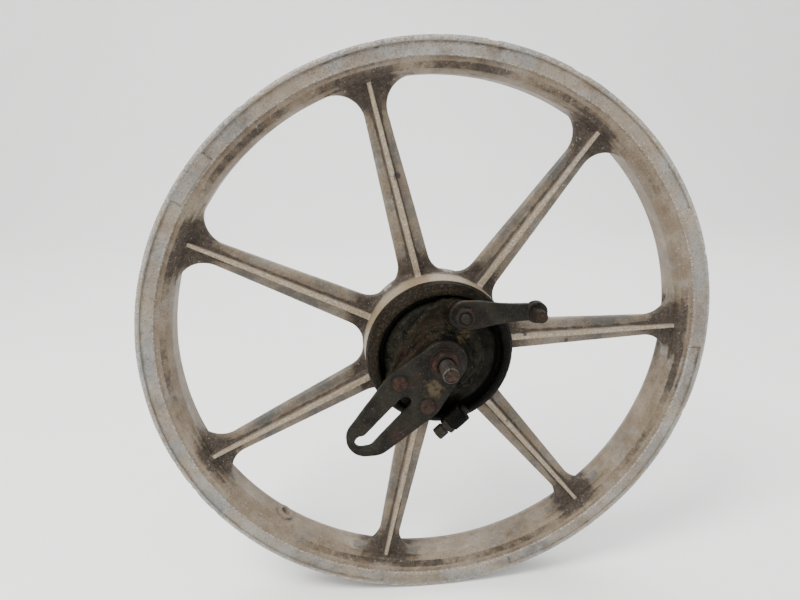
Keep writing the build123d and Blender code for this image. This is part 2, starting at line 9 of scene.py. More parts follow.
import bmesh
import bpy
import numpy as np
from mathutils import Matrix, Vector


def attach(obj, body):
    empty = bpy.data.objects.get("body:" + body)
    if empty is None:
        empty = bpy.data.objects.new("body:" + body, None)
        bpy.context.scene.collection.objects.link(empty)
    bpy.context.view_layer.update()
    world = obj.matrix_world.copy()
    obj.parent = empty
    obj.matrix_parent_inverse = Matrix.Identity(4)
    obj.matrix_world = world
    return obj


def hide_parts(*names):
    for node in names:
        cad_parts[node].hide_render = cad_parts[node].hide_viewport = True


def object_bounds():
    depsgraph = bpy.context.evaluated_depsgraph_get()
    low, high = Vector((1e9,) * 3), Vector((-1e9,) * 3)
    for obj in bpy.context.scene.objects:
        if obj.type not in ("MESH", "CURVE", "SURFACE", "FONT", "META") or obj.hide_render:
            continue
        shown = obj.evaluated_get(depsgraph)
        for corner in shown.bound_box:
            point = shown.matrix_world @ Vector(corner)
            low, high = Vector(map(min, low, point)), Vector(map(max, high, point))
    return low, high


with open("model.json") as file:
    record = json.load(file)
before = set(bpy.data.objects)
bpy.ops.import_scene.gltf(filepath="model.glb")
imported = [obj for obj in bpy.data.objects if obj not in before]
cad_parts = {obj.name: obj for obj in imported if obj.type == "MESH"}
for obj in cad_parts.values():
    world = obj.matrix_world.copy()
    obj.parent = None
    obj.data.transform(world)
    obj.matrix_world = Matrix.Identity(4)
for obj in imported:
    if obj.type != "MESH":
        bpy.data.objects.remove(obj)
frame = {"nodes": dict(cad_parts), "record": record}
cad_box = [list(corner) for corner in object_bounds()]

MM = 0.001

# ---- camera

CAMERA_AT = Vector((-0.08402, -0.48423, 0.17827))
CAMERA_LOOK = Vector((0.11313, 0.95113, -0.28733))
CAMERA_LENS = 28.48


def link(name, data):
    """Puts an object with this data in the scene."""
    item = bpy.data.objects.new(name, data)
    bpy.context.scene.collection.objects.link(item)
    return item


def make_camera():
    data = bpy.data.cameras.new("camera")
    data.sensor_width = 36
    data.lens = CAMERA_LENS
    data.clip_start = 0.01
    camera = link("camera", data)
    camera.location = CAMERA_AT
    camera.rotation_euler = CAMERA_LOOK.to_track_quat("-Z", "Y").to_euler()
    bpy.context.scene.camera = camera


make_camera()

# ---- sizes of the wheel

HUB_R, RIM_BORE_R = 57, 203.6
SPOKES, SPOKE_PHASE = 7, 1.43
WEB_OUT, WEB_HALF_THICK = 4.5, 3.5
WEB_HALF, WEB_HALF_AT, WEB_TAPER = 10.5, 125, 0.0344
WINDOW_FILLET_RIM, WINDOW_FILLET_HUB = 21, 19
# rib sizes at radius 54 and at radius 210
CREST_HALF, ROOT_HALF = (2.2, 1.3), (4.2, 2.7)
RIB_NEAR, RIB_FAR = (16.5, 13), (-7.5, -4.5)
PAD_SPANS = [(138, 148.5), (-3, 28), (258.5, 288.5)]
PAD_FACE, PAD_ROUND = 22.1, 3.2
VALVE_ANGLE, VALVE_HOLE_R, VALVE_BOSS_R = 231, 4.25, 8

ARM_ANGLE, ARM_FACE, ARM_THICK = 227, 53.5, 5
BRAKE_ANGLE, CAM_AT, PIN_AT = 70, 38.3, -36.4
RIVET_ALONG, RIVET_ACROSS = 33.4, 14.6
LEVER_LEN, LEVER_TILT, LEVER_BACK = 53.8, 1.1, 54.5
CABLE_ANGLE, CABLE_FOOT, CABLE_OUT = 43, (5.9, -51.9), 53
AXLE_R, STUD_R, PITCH = 6, 4, 1.25


def turn(angle, along, across=0):
    """(x, z) of a point given along and across a direction in degrees."""
    c, s = math.cos(math.radians(angle)), math.sin(math.radians(angle))
    return along * c - across * s, along * s + across * c


def shifted(centre, angle, along, across=0):
    """(x, z) of a point given along and across a direction from a centre."""
    x, z = turn(angle, along, across)
    return centre[0] + x, centre[1] + z


def rectangle(centre, angle, half_long, half_wide):
    """Corners of a rectangle that lies along a direction in degrees."""
    signs = ((-1, -1), (1, -1), (1, 1), (-1, 1))
    return [shifted(centre, angle, a * half_long, b * half_wide) for a, b in signs]


CAM = turn(BRAKE_ANGLE, CAM_AT)
EYE = shifted(CAM, LEVER_TILT, LEVER_LEN)


def along_across(x, z, angle):
    return turn(-angle, x, z)


def smooth_step(value, low, high):
    t = np.clip((value - low) / (high - low), 0, 1)
    return t * t * (3 - 2 * t)


def hill(value, middle, width):
    """1 in the middle, falling smoothly to nearly 0 at two widths from it."""
    return np.exp(-((value - middle) / width) ** 2)


def degrees_apart(angle, other):
    return np.abs((angle - other + 180) % 360 - 180)


def facing(angle, other, low, high):
    """Rises to 1 where a direction nears another; low and high are cosines."""
    return smooth_step(np.cos(np.radians(angle - other)), low, high)


# ---- noise for real surface detail

LATTICE = np.random.RandomState(11).rand(8192)
KEY_X, KEY_Y, KEY_Z = 73856093, 19349663, 83492791


def lattice_noise(points, scale, seed):
    """Smooth value noise from 0 to 1 at points in millimetres, with features of that scale."""
    p = np.asarray(points) / scale + 37 * (seed + 1)
    cell = np.floor(p).astype(np.int64)
    f = p - cell
    f = f * f * (3 - 2 * f)
    total = np.zeros(len(p))
    for corner in np.ndindex(2, 2, 2):
        i, j, k = (cell + corner).T
        key = (i * KEY_X ^ j * KEY_Y ^ k * KEY_Z) % len(LATTICE)
        total += np.where(corner, f, 1 - f).prod(axis=1) * LATTICE[key]
    return total


def layered_noise(points, scale, seed):
    """Two layers of noise, the second half as large and half as strong."""
    coarse, fine = lattice_noise(points, scale, seed), lattice_noise(points, scale / 2, seed + 1)
    return (coarse + 0.5 * fine) / 1.5


# ---- mesh helpers

def link_mesh(name, points, faces):
    """Mesh object from points in millimetres in the row frame."""
    mesh = bpy.data.meshes.new(name)
    mesh.from_pydata((np.asarray(points) * MM).tolist(), [], faces)
    mesh.validate()
    mesh.update()
    return link(name, mesh)


def grid_faces(rows, cols, close_rows, close_cols):
    faces = []
    for i in range(rows if close_rows else rows - 1):
        a, b = i * cols, (i + 1) % rows * cols
        for j in range(cols if close_cols else cols - 1):
            k = (j + 1) % cols
            faces.append((a + j, a + k, b + k, b + j))
    return faces


def coords(piece):
    """Vertex positions in millimetres."""
    flat = np.empty(len(piece.data.vertices) * 3)
    piece.data.vertices.foreach_get("co", flat)
    return flat.reshape(-1, 3) / MM


def wheel_coords(piece):
    """Vertex positions as one array, and as x, out, z and distance from the axle's line."""
    points = coords(piece)
    x, y, z = points.T
    return points, x, -y, z, np.hypot(x, z)


def set_coords(piece, points):
    piece.data.vertices.foreach_set("co", (np.asarray(points) * MM).ravel())
    piece.data.update()


def tidy(piece, crease=35, merge=0):
    """Merges doubled points, turns normals outward and shades smooth up to a crease angle."""
    bm = bmesh.new()
    bm.from_mesh(piece.data)
    if merge:
        bmesh.ops.remove_doubles(bm, verts=bm.verts, dist=merge * MM)
    loose = [edge for edge in bm.edges if not edge.link_faces]
    bmesh.ops.delete(bm, geom=loose, context="EDGES")
    bmesh.ops.recalc_face_normals(bm, faces=bm.faces)
    bm.to_mesh(piece.data)
    bm.free()
    piece.data.polygons.foreach_set("use_smooth", [True] * len(piece.data.polygons))
    piece.data.set_sharp_from_angle(angle=math.radians(crease))
    piece.data.update()
    return piece


def roughen(piece, layers, where=1):
    """Moves points along their normals by noise: layers are (amount, scale) in millimetres."""
    points = coords(piece)
    flat = np.empty(len(points) * 3)
    piece.data.vertex_normals.foreach_get("vector", flat)
    shift = np.zeros(len(points))
    for k, (amount, scale) in enumerate(layers):
        shift += amount * (layered_noise(points, scale, 3 * k) - 0.5) * 2
    set_coords(piece, points + flat.reshape(-1, 3) * (shift * where)[:, None])


def paint(piece, name, values):
    """A named amount at every point, read by the material; values may be one number."""
    layer = piece.data.attributes.new(name, "FLOAT", "POINT")
    amounts = np.zeros(len(piece.data.vertices), np.float32)
    amounts[:] = np.clip(values, 0, 1)
    layer.data.foreach_set("value", amounts)


def join(pieces, name):
    """One mesh object made of several."""
    bpy.ops.object.select_all(action="DESELECT")
    for piece in pieces:
        piece.select_set(True)
    bpy.context.view_layer.objects.active = pieces[0]
    if len(pieces) > 1:
        bpy.ops.object.join()
    pieces[0].name = pieces[0].data.name = name
    return pieces[0]


def evaluated_mesh(item):
    """Mesh of an object as it looks with its modifiers, or of a curve."""
    graph = bpy.context.evaluated_depsgraph_get()
    return bpy.data.meshes.new_from_object(item.evaluated_get(graph))


def apply_modifiers(piece):
    mesh = evaluated_mesh(piece)
    piece.modifiers.clear()
    piece.data = mesh
    return piece


def cast_blend(pieces, name, voxel, smooth):
    """Melts several closed shapes into one skin with rounded inner corners."""
    piece = join(pieces, name)
    remesh = piece.modifiers.new("skin", "REMESH")
    remesh.mode = "VOXEL"
    remesh.voxel_size = voxel * MM
    soften = piece.modifiers.new("soften", "SMOOTH")
    soften.factor = 0.5
    soften.iterations = smooth
    return apply_modifiers(piece)


def cut(piece, tool):
    """Takes the tool's shape out of the piece."""
    modifier = piece.modifiers.new("cut", "BOOLEAN")
    modifier.operation = "DIFFERENCE"
    modifier.solver = "EXACT"
    modifier.object = tool
    apply_modifiers(piece)
    bpy.data.objects.remove(tool)
    return piece


def round_outline(corners, steps=4):
    """Closed outline from corners (a, b, radius), each rounded with the same number of points."""
    places = np.array([corner[:2] for corner in corners], float)
    result = []
    for i, p in enumerate(places):
        radius = corners[i][2]
        if radius == 0:
            result.append(tuple(p))
            continue
        before, after = places[i - 1] - p, places[(i + 1) % len(places)] - p
        reach = [np.linalg.norm(before), np.linalg.norm(after)]
        u, v = before / reach[0], after / reach[1]
        half = math.acos(np.clip(np.dot(u, v), -1, 1)) / 2
        t = min(radius / max(math.tan(half), 1e-3), 0.47 * min(reach))
        for k in range(steps + 1):
            s = k / steps
            q = (1 - s) ** 2 * (p + u * t) + 2 * s * (1 - s) * p + s ** 2 * (p + v * t)
            result.append(tuple(q))
    return result


def densify(points, step):
    """The same closed outline with no two points further apart than step."""
    result = []
    for i, point in enumerate(points):
        a, b = np.array(point), np.array(points[(i + 1) % len(points)])
        parts = max(1, math.ceil(np.linalg.norm(b - a) / step))
        result += [tuple(a + (b - a) * k / parts) for k in range(parts)]
    return result


def ring_angles(count):
    return np.arange(count) * 2 * math.pi / count


def arc_points(centre, radius, start, end, parts):
    """Points along an arc between two angles in radians, both ends included."""
    return [(centre[0] + radius * math.cos(start + (end - start) * k / parts),
             centre[1] + radius * math.sin(start + (end - start) * k / parts))
            for k in range(parts + 1)]


def lathe(name, outline, segments, centre=(0, 0), crease=35):
    """Turns a closed outline of (radius, out) about a line parallel to the axle."""
    outline = np.array(outline)
    angles = ring_angles(segments)
    radius, out = outline[None, :, 0], outline[None, :, 1]
    points = np.stack([
        centre[0] + radius * np.cos(angles)[:, None],
        np.broadcast_to(-out, (segments, len(outline))),
        centre[1] + radius * np.sin(angles)[:, None],
    ], axis=-1).reshape(-1, 3)
    piece = link_mesh(name, points, grid_faces(segments, len(outline), True, True))
    return tidy(piece, crease, merge=0.002)


def disc_outline(radius, out0, out1, soft):
    """Outline of a solid disc: its first and last points lie on the axis."""
    return round_outline([(0, out0, 0), (radius, out0, soft), (radius, out1, soft), (0, out1, 0)])


def slab(name, loops, out0, out1, soft):
    """Flat plate from outlines of (x, z); loops after the first are holes."""
    curve = bpy.data.curves.new(name, "CURVE")
    curve.dimensions = "2D"
    curve.fill_mode = "BOTH"
    curve.extrude = ((out1 - out0) / 2 - soft) * MM
    curve.bevel_depth = soft * MM
    curve.bevel_resolution = 2
    curve.offset = -soft * MM
    for loop in loops:
        spline = curve.splines.new("POLY")
        spline.points.add(len(loop) - 1)
        spline.points.foreach_set("co", [c for x, z in loop for c in (x * MM, z * MM, 0, 1)])
        spline.use_cyclic_u = True
    holder = link(name + "_outline", curve)
    mesh = evaluated_mesh(holder)
    bpy.data.objects.remove(holder)
    piece = link(name, mesh)
    x, z, height = coords(piece).T
    set_coords(piece, np.stack([x, -(out0 + out1) / 2 - height, z], axis=-1))
    return tidy(piece, 30, merge=0.002)


def loft(name, rows, crease):
    """Closed skin over sections with equal numbers of points, capped at both ends."""
    points = np.array(rows)
    count, cols = points.shape[:2]
    faces = grid_faces(count, cols, False, True)
    faces.append(tuple(range(cols)))
    faces.append(tuple(range((count - 1) * cols, count * cols)))
    return tidy(link_mesh(name, points.reshape(-1, 3), faces), crease)


def hull(points):
    """Convex outline round a cloud of (x, z) points."""
    points = sorted(points)
    halves = []
    for ordered in (points, points[::-1]):
        side = []
        for p in ordered:
            while len(side) > 1 and ((side[-1][0] - side[-2][0]) * (p[1] - side[-2][1])
                                     - (side[-1][1] - side[-2][1]) * (p[0] - side[-2][0])) <= 0:
                side.pop()
            side.append(p)
        halves += side[:-1]
    return halves


def lay(piece, centre, angle, out):
    """Lays a turned piece down: its own "out" becomes a direction in the wheel plane."""
    x, y, z = coords(piece).T
    ax, az = turn(angle, 1)
    set_coords(piece, np.stack([centre[0] - y * ax - x * az, -out + z, centre[1] - y * az + x * ax],
                               axis=-1))
    return piece


def drill(name, centre, angle, out, radius):
    """Cylinder along a direction in the wheel plane, used as a cutter."""
    reach = 12
    return tidy(lay(lathe(name, disc_outline(radius, -reach, reach, 0.01), 64), centre, angle, out))


def stack_rings(name, rows, count, centre, closed):
    """Mesh from rings (radius, out), where each may be one number or one for every point."""
    angles = ring_angles(count)
    rings = [np.stack([centre[0] + radius * np.cos(angles), np.broadcast_to(-out, count),
                       centre[1] + radius * np.sin(angles)], axis=-1) for radius, out in rows]
    return link_mesh(name, np.concatenate(rings), grid_faces(len(rows), count, closed, True))


def thread_ridge(out, angles):
    """Height of a helical thread from 0 at its crest to 1 at its root."""
    return np.abs((out / PITCH - angles / (2 * math.pi)) % 1 - 0.5) * 2


def nut(name, across_flats, bore, out0, out1, centre=(0, 0), spin=0):
    """Hexagon nut with worn corners, turned chamfers on both faces and a tapped hole."""
    count, soft, worn, thread_depth = 144, 0.25, 0.35, 0.45
    angles = ring_angles(count)
    folded = (angles - math.radians(spin) + math.pi / 6) % (math.pi / 3) - math.pi / 6
    hexagon = np.minimum(across_flats / 2 / np.cos(folded), across_flats / math.sqrt(3) - worn)
    face_r = across_flats / 2 - 0.3
    drop = (hexagon - face_r) * 0.5
    top, bottom = out1 - drop - soft, out0 + drop + soft
    rows = [(bore + 0.9, out1 - 0.2), (bore + 1.1, out1), (face_r - 0.4, out1),
            (face_r, out1 - 0.05), (hexagon - soft, out1 - drop * 0.9)]
    rows += [(hexagon, top + (bottom - top) * k / 6) for k in range(7)]
    rows += [(hexagon - soft, out0 + drop * 0.9), (face_r, out0 + 0.05), (bore + 1.1, out0),
             (bore + 0.9, out0 + 0.2)]
    length = out1 - out0 - 1.2
    turns = int(length / PITCH * 6)
    for k in range(turns + 1):
        out = out0 + 0.6 + length * k / turns
        rows.append((bore + thread_depth * thread_ridge(out, angles), out))
    return tidy(stack_rings(name, rows, count, centre, True), 30)


def threaded_rod(name, radius, plain0, thread0, thread1, chamfer, depth, face=(), centre=(0, 0)):
    """Rod that is plain from plain0 to thread0 and threaded on to thread1, with a turned end."""
    count, per_turn = 72, 8
    rows = [(0, plain0), (radius, plain0), (radius, thread0 - 0.8)]
    steps = int((thread1 - thread0) / PITCH * per_turn)
    for k in range(steps + 1):
        out = thread0 + (thread1 - thread0) * k / steps
        groove = np.clip(thread_ridge(out, ring_angles(count)) * 1.25 - 0.1, 0, 1)
        cap = radius - max(0, out - (thread1 - chamfer))
        fade = min(1, (out - thread0) / PITCH)
        rows.append((np.minimum(radius - depth * fade * groove, cap), out))
    rows += face or [(radius - chamfer - 0.1, thread1 + 0.02)]
    rows.append((0, rows[-1][1]))
    return tidy(stack_rings(name, rows, count, centre, False), 28, merge=0.002)


# ---- materials

class Weathered:
    """A procedural material: a base of two tones, then stains laid over it one by one."""

    def __init__(self, name, roughness, metallic=0, specular=0.5):
        self.material = bpy.data.materials.new(name)
        self.material.use_nodes = True
        self.tree = self.material.node_tree
        self.shader = self.tree.nodes["Principled BSDF"]
        self.shader.inputs["Metallic"].default_value = metallic
        self.shader.inputs["Specular IOR Level"].default_value = specular
        self.place = self.add("TexCoord").outputs["Object"]
        self.roughness = roughness
        self.height = None

    def feed(self, socket, value):
        """Links a socket to an output, or sets it to a number, a vector or a colour."""
        if isinstance(value, bpy.types.NodeSocket):
            self.tree.links.new(value, socket)
        elif socket.type == "RGBA":
            socket.default_value = (*value, 1)
        else:
            socket.default_value = value

    def add(self, kind, *fed, **settings):
        """A new node with these settings, and (input, value) pairs fed to it."""
        node = self.tree.nodes.new("ShaderNode" + kind)
        for name, setting in settings.items():
            setattr(node, name, setting)
        for key, value in fed:
            self.feed(node.inputs[key], value)
        return node

    def calc(self, operation, a, b):
        return self.add("Math", (0, a), (1, b), operation=operation).outputs[0]

    def noise(self, scale, detail=5, rough=0.6, stretch=None):
        """Noise; stretch is the (rotation, scale) of the space it is made in."""
        place = self.place
        if stretch:
            rotation, size = stretch
            mapping = self.add("Mapping", ("Vector", place), ("Rotation", rotation), ("Scale", size))
            place = mapping.outputs[0]
        node = self.add("TexNoise", ("Vector", place), ("Scale", scale), ("Detail", detail),
                        ("Roughness", rough))
        return node.outputs["Fac"]

    def ramp(self, value, low, high):
        node = self.add("MapRange", ("Value", value), ("From Min", low), ("From Max", high),
                        interpolation_type="SMOOTHSTEP")
        return node.outputs["Result"]

    def blend(self, mask, first, second):
        return self.add("Mix", (0, mask), (6, first), (7, second), data_type="RGBA").outputs[2]

    def base(self, first, second, scale):
        self.colour = self.blend(self.ramp(self.noise(scale), 0.35, 0.65), first, second)
        return self

    def stain(self, colour, scale, low, high, strength, amount=None, weight=0, rough=None,
              stretch=None):
        """Lays a colour where noise, raised by a painted amount, passes from low to high."""
        value = self.noise(scale, 6, 0.65, stretch)
        if amount:
            painted = self.add("Attribute", attribute_name=amount).outputs["Fac"]
            value = self.calc("ADD", value, self.calc("MULTIPLY", painted, weight))
        mask = self.calc("MULTIPLY", self.ramp(value, low, high), strength)
        self.colour = self.blend(mask, self.colour, colour)
        if rough is not None:
            self.roughness = self.add("Mix", (0, mask), (2, self.roughness), (3, rough)).outputs[0]
        return self

    def pits(self, colour, scale, size, patch_scale, strength, sink):
        """Small dark holes, thick in some patches and absent in others."""
        cells = self.add("TexVoronoi", ("Vector", self.place), ("Scale", scale)).outputs["Distance"]
        near = self.ramp(cells, size, size * 0.4)
        where = self.ramp(self.noise(patch_scale, 3), 0.50, 0.62)
        mask = self.calc("MULTIPLY", self.calc("MULTIPLY", near, where), strength)
        self.colour = self.blend(mask, self.colour, colour)
        return self.raise_by(mask, -sink)

    def raise_by(self, value, weight):
        step = self.calc("MULTIPLY", value, weight)
        self.height = step if self.height is None else self.calc("ADD", self.height, step)
        return self

    def grain(self, scale, weight, stretch=None):
        return self.raise_by(self.noise(scale, 4, 0.6, stretch), weight)

    def finish(self, depth=0, strength=1):
        """Closes the material; depth is the bump's height in millimetres."""
        self.feed(self.shader.inputs["Base Color"], self.colour)
        if isinstance(self.roughness, float):
            wear = self.ramp(self.noise(40), 0.2, 0.8)
            low = self.roughness - 0.07
            self.roughness = self.calc("ADD", self.calc("MULTIPLY", wear, 0.14), low)
        self.feed(self.shader.inputs["Roughness"], self.roughness)
        if self.height is not None:
            bump = self.add("Bump", ("Strength", strength), ("Distance", depth * MM),
                            ("Height", self.height))
            self.feed(self.shader.inputs["Normal"], bump.outputs[0])
        return self.material


def cast_wheel():
    """Weathered cast aluminium: pale grey to cream, brown dirt and painted shade in the corners,
    painted highlights on the rib crests and the rim's ridge, dark pits.
    """
    m = Weathered("cast_wheel", 0.55, 0.2)
    m.base((0.155, 0.156, 0.150), (0.245, 0.240, 0.224), 22)
    m.stain((0.044, 0.044, 0.040), 60, 0.46, 0.78, 0.92, "dull", 0.42)
    m.stain((0.208, 0.160, 0.104), 34, 0.44, 0.74, 0.74, "warm", 0.30)
    m.stain((0.110, 0.074, 0.040), 48, 0.58, 0.88, 0.66, "warm", 0.30)
    m.stain((0.300, 0.305, 0.298), 30, 0.52, 0.72, 0.34)
    # tan: the drum's own colour outside it, and a painted highlight on the rib crests
    m.stain((0.225, 0.168, 0.098), 70, 0.66, 1.15, 0.85, "tan", 0.80)
    # brown dirt, together with painted shade beside the ribs and painted shadow lines in the rim's
    # steps
    m.stain((0.080, 0.052, 0.029), 90, 0.58, 1.10, 0.86, "grime_and_shade", 0.60, rough=0.75)
    m.stain((0.020, 0.015, 0.010), 160, 0.88, 1.22, 0.92, "grime_and_shade", 0.78, rough=0.8)
    m.stain((0.018, 0.014, 0.011), 300, 0.98, 1.22, 0.94, "soot_and_shade", 0.85)
    m.stain((0.052, 0.040, 0.028), 800, 0.48, 0.66, 0.52)
    m.stain((0.06, 0.043, 0.03), 420, 0.86, 0.98, 0.7, "grime_and_shade", 0.42)
    # light wear, and a painted highlight on the rib crests and along the rim's ridge
    m.stain((0.40, 0.39, 0.36), 600, 0.58, 0.74, 0.55, "wear", 0.16)
    m.pits((0.03, 0.022, 0.016), 420, 0.24, 26, 0.9, 0.5)
    m.pits((0.05, 0.035, 0.025), 900, 0.30, 14, 0.8, 0.3)
    m.grain(900, 0.5).grain(180, 0.7)
    return m.finish(depth=0.4, strength=0.95)


def brake_casting():
    """Cast aluminium under old oil: nearly black, greenish on the faces with painted highlights along
    raised edges and a painted lit upper-left side, brown on the ring, stronger on its lit side, and
    painted shade in the groove and on the lower right.
    """
    m = Weathered("brake_casting", 0.52, specular=0.05)
    m.base((0.0011, 0.0010, 0.0006), (0.0080, 0.0073, 0.0045), 80)
    # greenish film and light specks, laid most where the painted highlights and the painted lit side
    # are
    m.stain((0.021, 0.020, 0.0125), 160, 0.60, 0.85, 0.60, "dust_and_sheen", 0.30)
    m.stain((0.016, 0.0075, 0.0050), 60, 0.60, 0.86, 0.65, "rust", 0.30)
    m.stain((0.060, 0.046, 0.022), 300, 0.86, 1.15, 0.80, "tan", 0.60)
    # the ring's brown, stronger on the upper left, partly a painted lit side
    m.stain((0.0095, 0.0070, 0.0042), 60, 0.72, 1.05, 0.80, "ring", 0.55)
    m.stain((0.034, 0.026, 0.016), 500, 0.98, 1.12, 0.55, "ring", 0.50)
    # nearly black: painted shade in the groove and on the lower right of the plate
    m.stain((0.0010, 0.0009, 0.0008), 40, 0.82, 1.02, 0.95, "soot_and_shade", 0.65, rough=0.6)
    m.stain((0.11, 0.100, 0.070), 900, 0.62, 0.72, 0.60, "dust_and_sheen", 0.05)
    m.stain((0.20, 0.19, 0.14), 520, 0.68, 0.76, 0.85)
    m.grain(420, 1).grain(120, 0.9)
    return m.finish(depth=0.55)


def dark_steel():
    """Steel under oily dirt with a brown film, a tan dusting that is partly a painted highlight, and
    bright scratches where painted.
    """
    m = Weathered("dark_steel", 0.52, specular=0.12)
    m.base((0.0040, 0.0036, 0.0025), (0.0135, 0.0118, 0.0082), 75)
    m.stain((0.022, 0.0115, 0.0075), 60, 0.60, 0.86, 0.70, "rust", 0.30, rough=0.7)
    # tan: dusting, and on the anchor arm a painted highlight
    m.stain((0.062, 0.047, 0.024), 260, 0.80, 1.10, 0.80, "tan", 0.55)
    m.stain((0.048, 0.041, 0.029), 620, 0.54, 0.70, 0.65)
    along_arm = ((0, math.radians(ARM_ANGLE), 0), (1, 1, 9))
    m.stain((0.38, 0.35, 0.39), 420, 1.02, 1.10, 0.85, "scratch", 0.42, 0.35, along_arm)
    m.stain((0.17, 0.155, 0.125), 480, 0.70, 0.78, 0.8)
    m.grain(420, 1).grain(110, 0.9)
    return m.finish(depth=0.5)


def rusty_steel():
    """Steel with red-brown rust, dark in the hollows and bright on a few grains."""
    m = Weathered("rusty_steel", 0.7, specular=0.15)
    m.base((0.011, 0.0065, 0.0048), (0.034, 0.0165, 0.0100), 260)
    m.stain((0.010, 0.008, 0.007), 120, 0.52, 0.70, 0.9, "soot_and_shade", 0.35)
    m.stain((0.080, 0.040, 0.022), 520, 0.60, 0.76, 0.7)
    m.stain((0.22, 0.19, 0.15), 1100, 0.66, 0.74, 0.6)
    m.grain(600, 0.8).grain(200, 1)
    return m.finish(depth=0.35)


def along_axle(across, along):
    """Stretch of noise on turned steel: rings round the axle."""
    return (0, 0, 0), (across, along, across)


def axle_steel():
    """Machined steel, greasy and grey, with some rust and a duller edge on its worn end."""
    m = Weathered("axle_steel", 0.5, specular=0.12)
    m.base((0.0050, 0.0046, 0.0036), (0.016, 0.0148, 0.0120), 200)
    m.stain((0.014, 0.011, 0.009), 110, 0.58, 0.80, 0.9, "soot_and_shade", 0.55, rough=0.6)
    m.stain((0.050, 0.028, 0.018), 260, 0.60, 0.74, 0.7, "rust", 0.2, rough=0.7)
    m.stain((0.10, 0.095, 0.082), 900, 0.62, 0.86, 0.7, "wear", 0.25)
    m.grain(900, 0.5, along_axle(0.3, 6))
    return m.finish(depth=0.15)


def bearing_steel():
    m = Weathered("bearing_steel", 0.16, 0.95)
    m.base((0.60, 0.60, 0.60), (0.74, 0.74, 0.73), 180)
    m.stain((0.22, 0.17, 0.12), 90, 0.60, 0.80, 0.6, rough=0.45)
    m.grain(1500, 0.4, along_axle(0.4, 5))
    return m.finish(depth=0.05)


def liner_iron():
    m = Weathered("liner_iron", 0.42, 0.6)
    m.base((0.20, 0.19, 0.18), (0.30, 0.29, 0.28), 80)
    m.stain((0.22, 0.10, 0.05), 90, 0.55, 0.75, 0.7, rough=0.8)
    m.grain(1200, 0.8, along_axle(0.2, 8))
    return m.finish(depth=0.12)


def brake_lining():
    m = Weathered("brake_lining", 0.82)
    m.base((0.085, 0.065, 0.048), (0.15, 0.12, 0.09), 160)
    m.stain((0.42, 0.30, 0.14), 1300, 0.66, 0.76, 0.7)
    m.stain((0.02, 0.018, 0.016), 700, 0.62, 0.74, 0.8)
    return m.grain(900, 1).finish(depth=0.2)


def black_rubber():
    m = Weathered("black_rubber", 0.62, specular=0.35)
    m.base((0.014, 0.014, 0.014), (0.032, 0.031, 0.030), 140)
    m.stain((0.16, 0.125, 0.085), 120, 0.58, 0.78, 0.6, rough=0.85)
    return m.grain(1000, 0.8).finish(depth=0.12)


def spring_steel():
    m = Weathered("spring_steel", 0.34, 0.7)
    m.base((0.12, 0.11, 0.10), (0.22, 0.21, 0.19), 260)
    m.stain((0.12, 0.055, 0.03), 240, 0.56, 0.74, 0.7, rough=0.7)
    return m.grain(1600, 0.6).finish(depth=0.08)


# each function is named after the record's material slot
MATERIALS = {make.__name__: make() for make in (
    cast_wheel, brake_casting, dark_steel, rusty_steel, axle_steel, bearing_steel, liner_iron,
    brake_lining, black_rubber, spring_steel)}


def settle(piece, slot_name, body, *nodes):
    """Gives a finished piece its material and the body it rides on, and hides the CAD nodes it stands
    for.
    """
    piece.data.materials.clear()
    piece.data.materials.append(MATERIALS[slot_name])
    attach(piece, body)
    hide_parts(*nodes)


# ---- wheel casting

def mirrored(half):
    """A half section, followed by its mirror image in reverse order."""
    return half + [(a, -b, soft) for a, b, soft in reversed(half)]


def rim_outline():
    """Rim section as (radius, out), rounded as a worn casting is."""
    half = [
        (207.6, 7.5, 3), (214.6, 11.6, 1.5), (216.5, 17.8, 1.6), (227.2, 17.8, 0.7),
        (228.6, 19.2, 0.8), (228.6, 20.9, 0.8), (227.2, 22.3, 0.8), (224.9, 22.3, 0.35),
        (224.5, 21, 0.35), (215.5, 20.7, 0.45), (214.4, 19.4, 0.6), (206.2, 15.4, 5),
        (203.6, 9.2, 5),
    ]
    return densify(round_outline(mirrored(half)), 1.3)


def into_pad(angle, radius, start, end):
    """Distance along the rim from the nearer end of a raised pad, negative outside it."""
    away = degrees_apart(angle, (start + end) / 2)
    return np.radians((end - start) / 2 - away) * radius


def make_rim():
    piece = lathe("rim", rim_outline(), 1260, crease=50)
    points, x, out, z, radius = wheel_coords(piece)
    angle = np.degrees(np.arctan2(z, x))
    on_band = (out > 20.55) & (out < PAD_FACE) & (radius > 215.7) & (radius < 224.85)
    corner = np.clip(219 - radius, 0, PAD_ROUND)
    inset = PAD_ROUND - np.sqrt(np.clip(PAD_ROUND ** 2 - corner ** 2, 0, None))
    for start, end in PAD_SPANS:
        lift = smooth_step(into_pad(angle, radius, start, end) - inset, -0.1, 0.45) * on_band
        out = out + (PAD_FACE - out) * lift
    points[:, 1] = -out
    # nicks along the outer lip
    lip = smooth_step(radius, 226.2, 228.2) * (out > 18)
    nick = smooth_step(layered_noise(points, 7, 5), 0.66, 0.80)
    wave = layered_noise(points, 60, 9) - 0.5
    keep = 1 - (nick * 0.55 + 0.25 * np.abs(wave)) * lip / radius
    points[:, 0] *= keep
    points[:, 2] *= keep
    set_coords(piece, points)
    return piece


def valve_boss():
    """Round boss on the rim's inner face, later drilled for the valve."""
    base, top = -3, 2.4
    outline = round_outline([(0, base, 0), (VALVE_BOSS_R, base, 0.5), (VALVE_BOSS_R, top, 0.9),
                             (0, top, 0)], 5)
    at = turn(VALVE_ANGLE, RIM_BORE_R)
    return tidy(lay(lathe("valve_boss", outline, 96), at, VALVE_ANGLE + 180, 0))


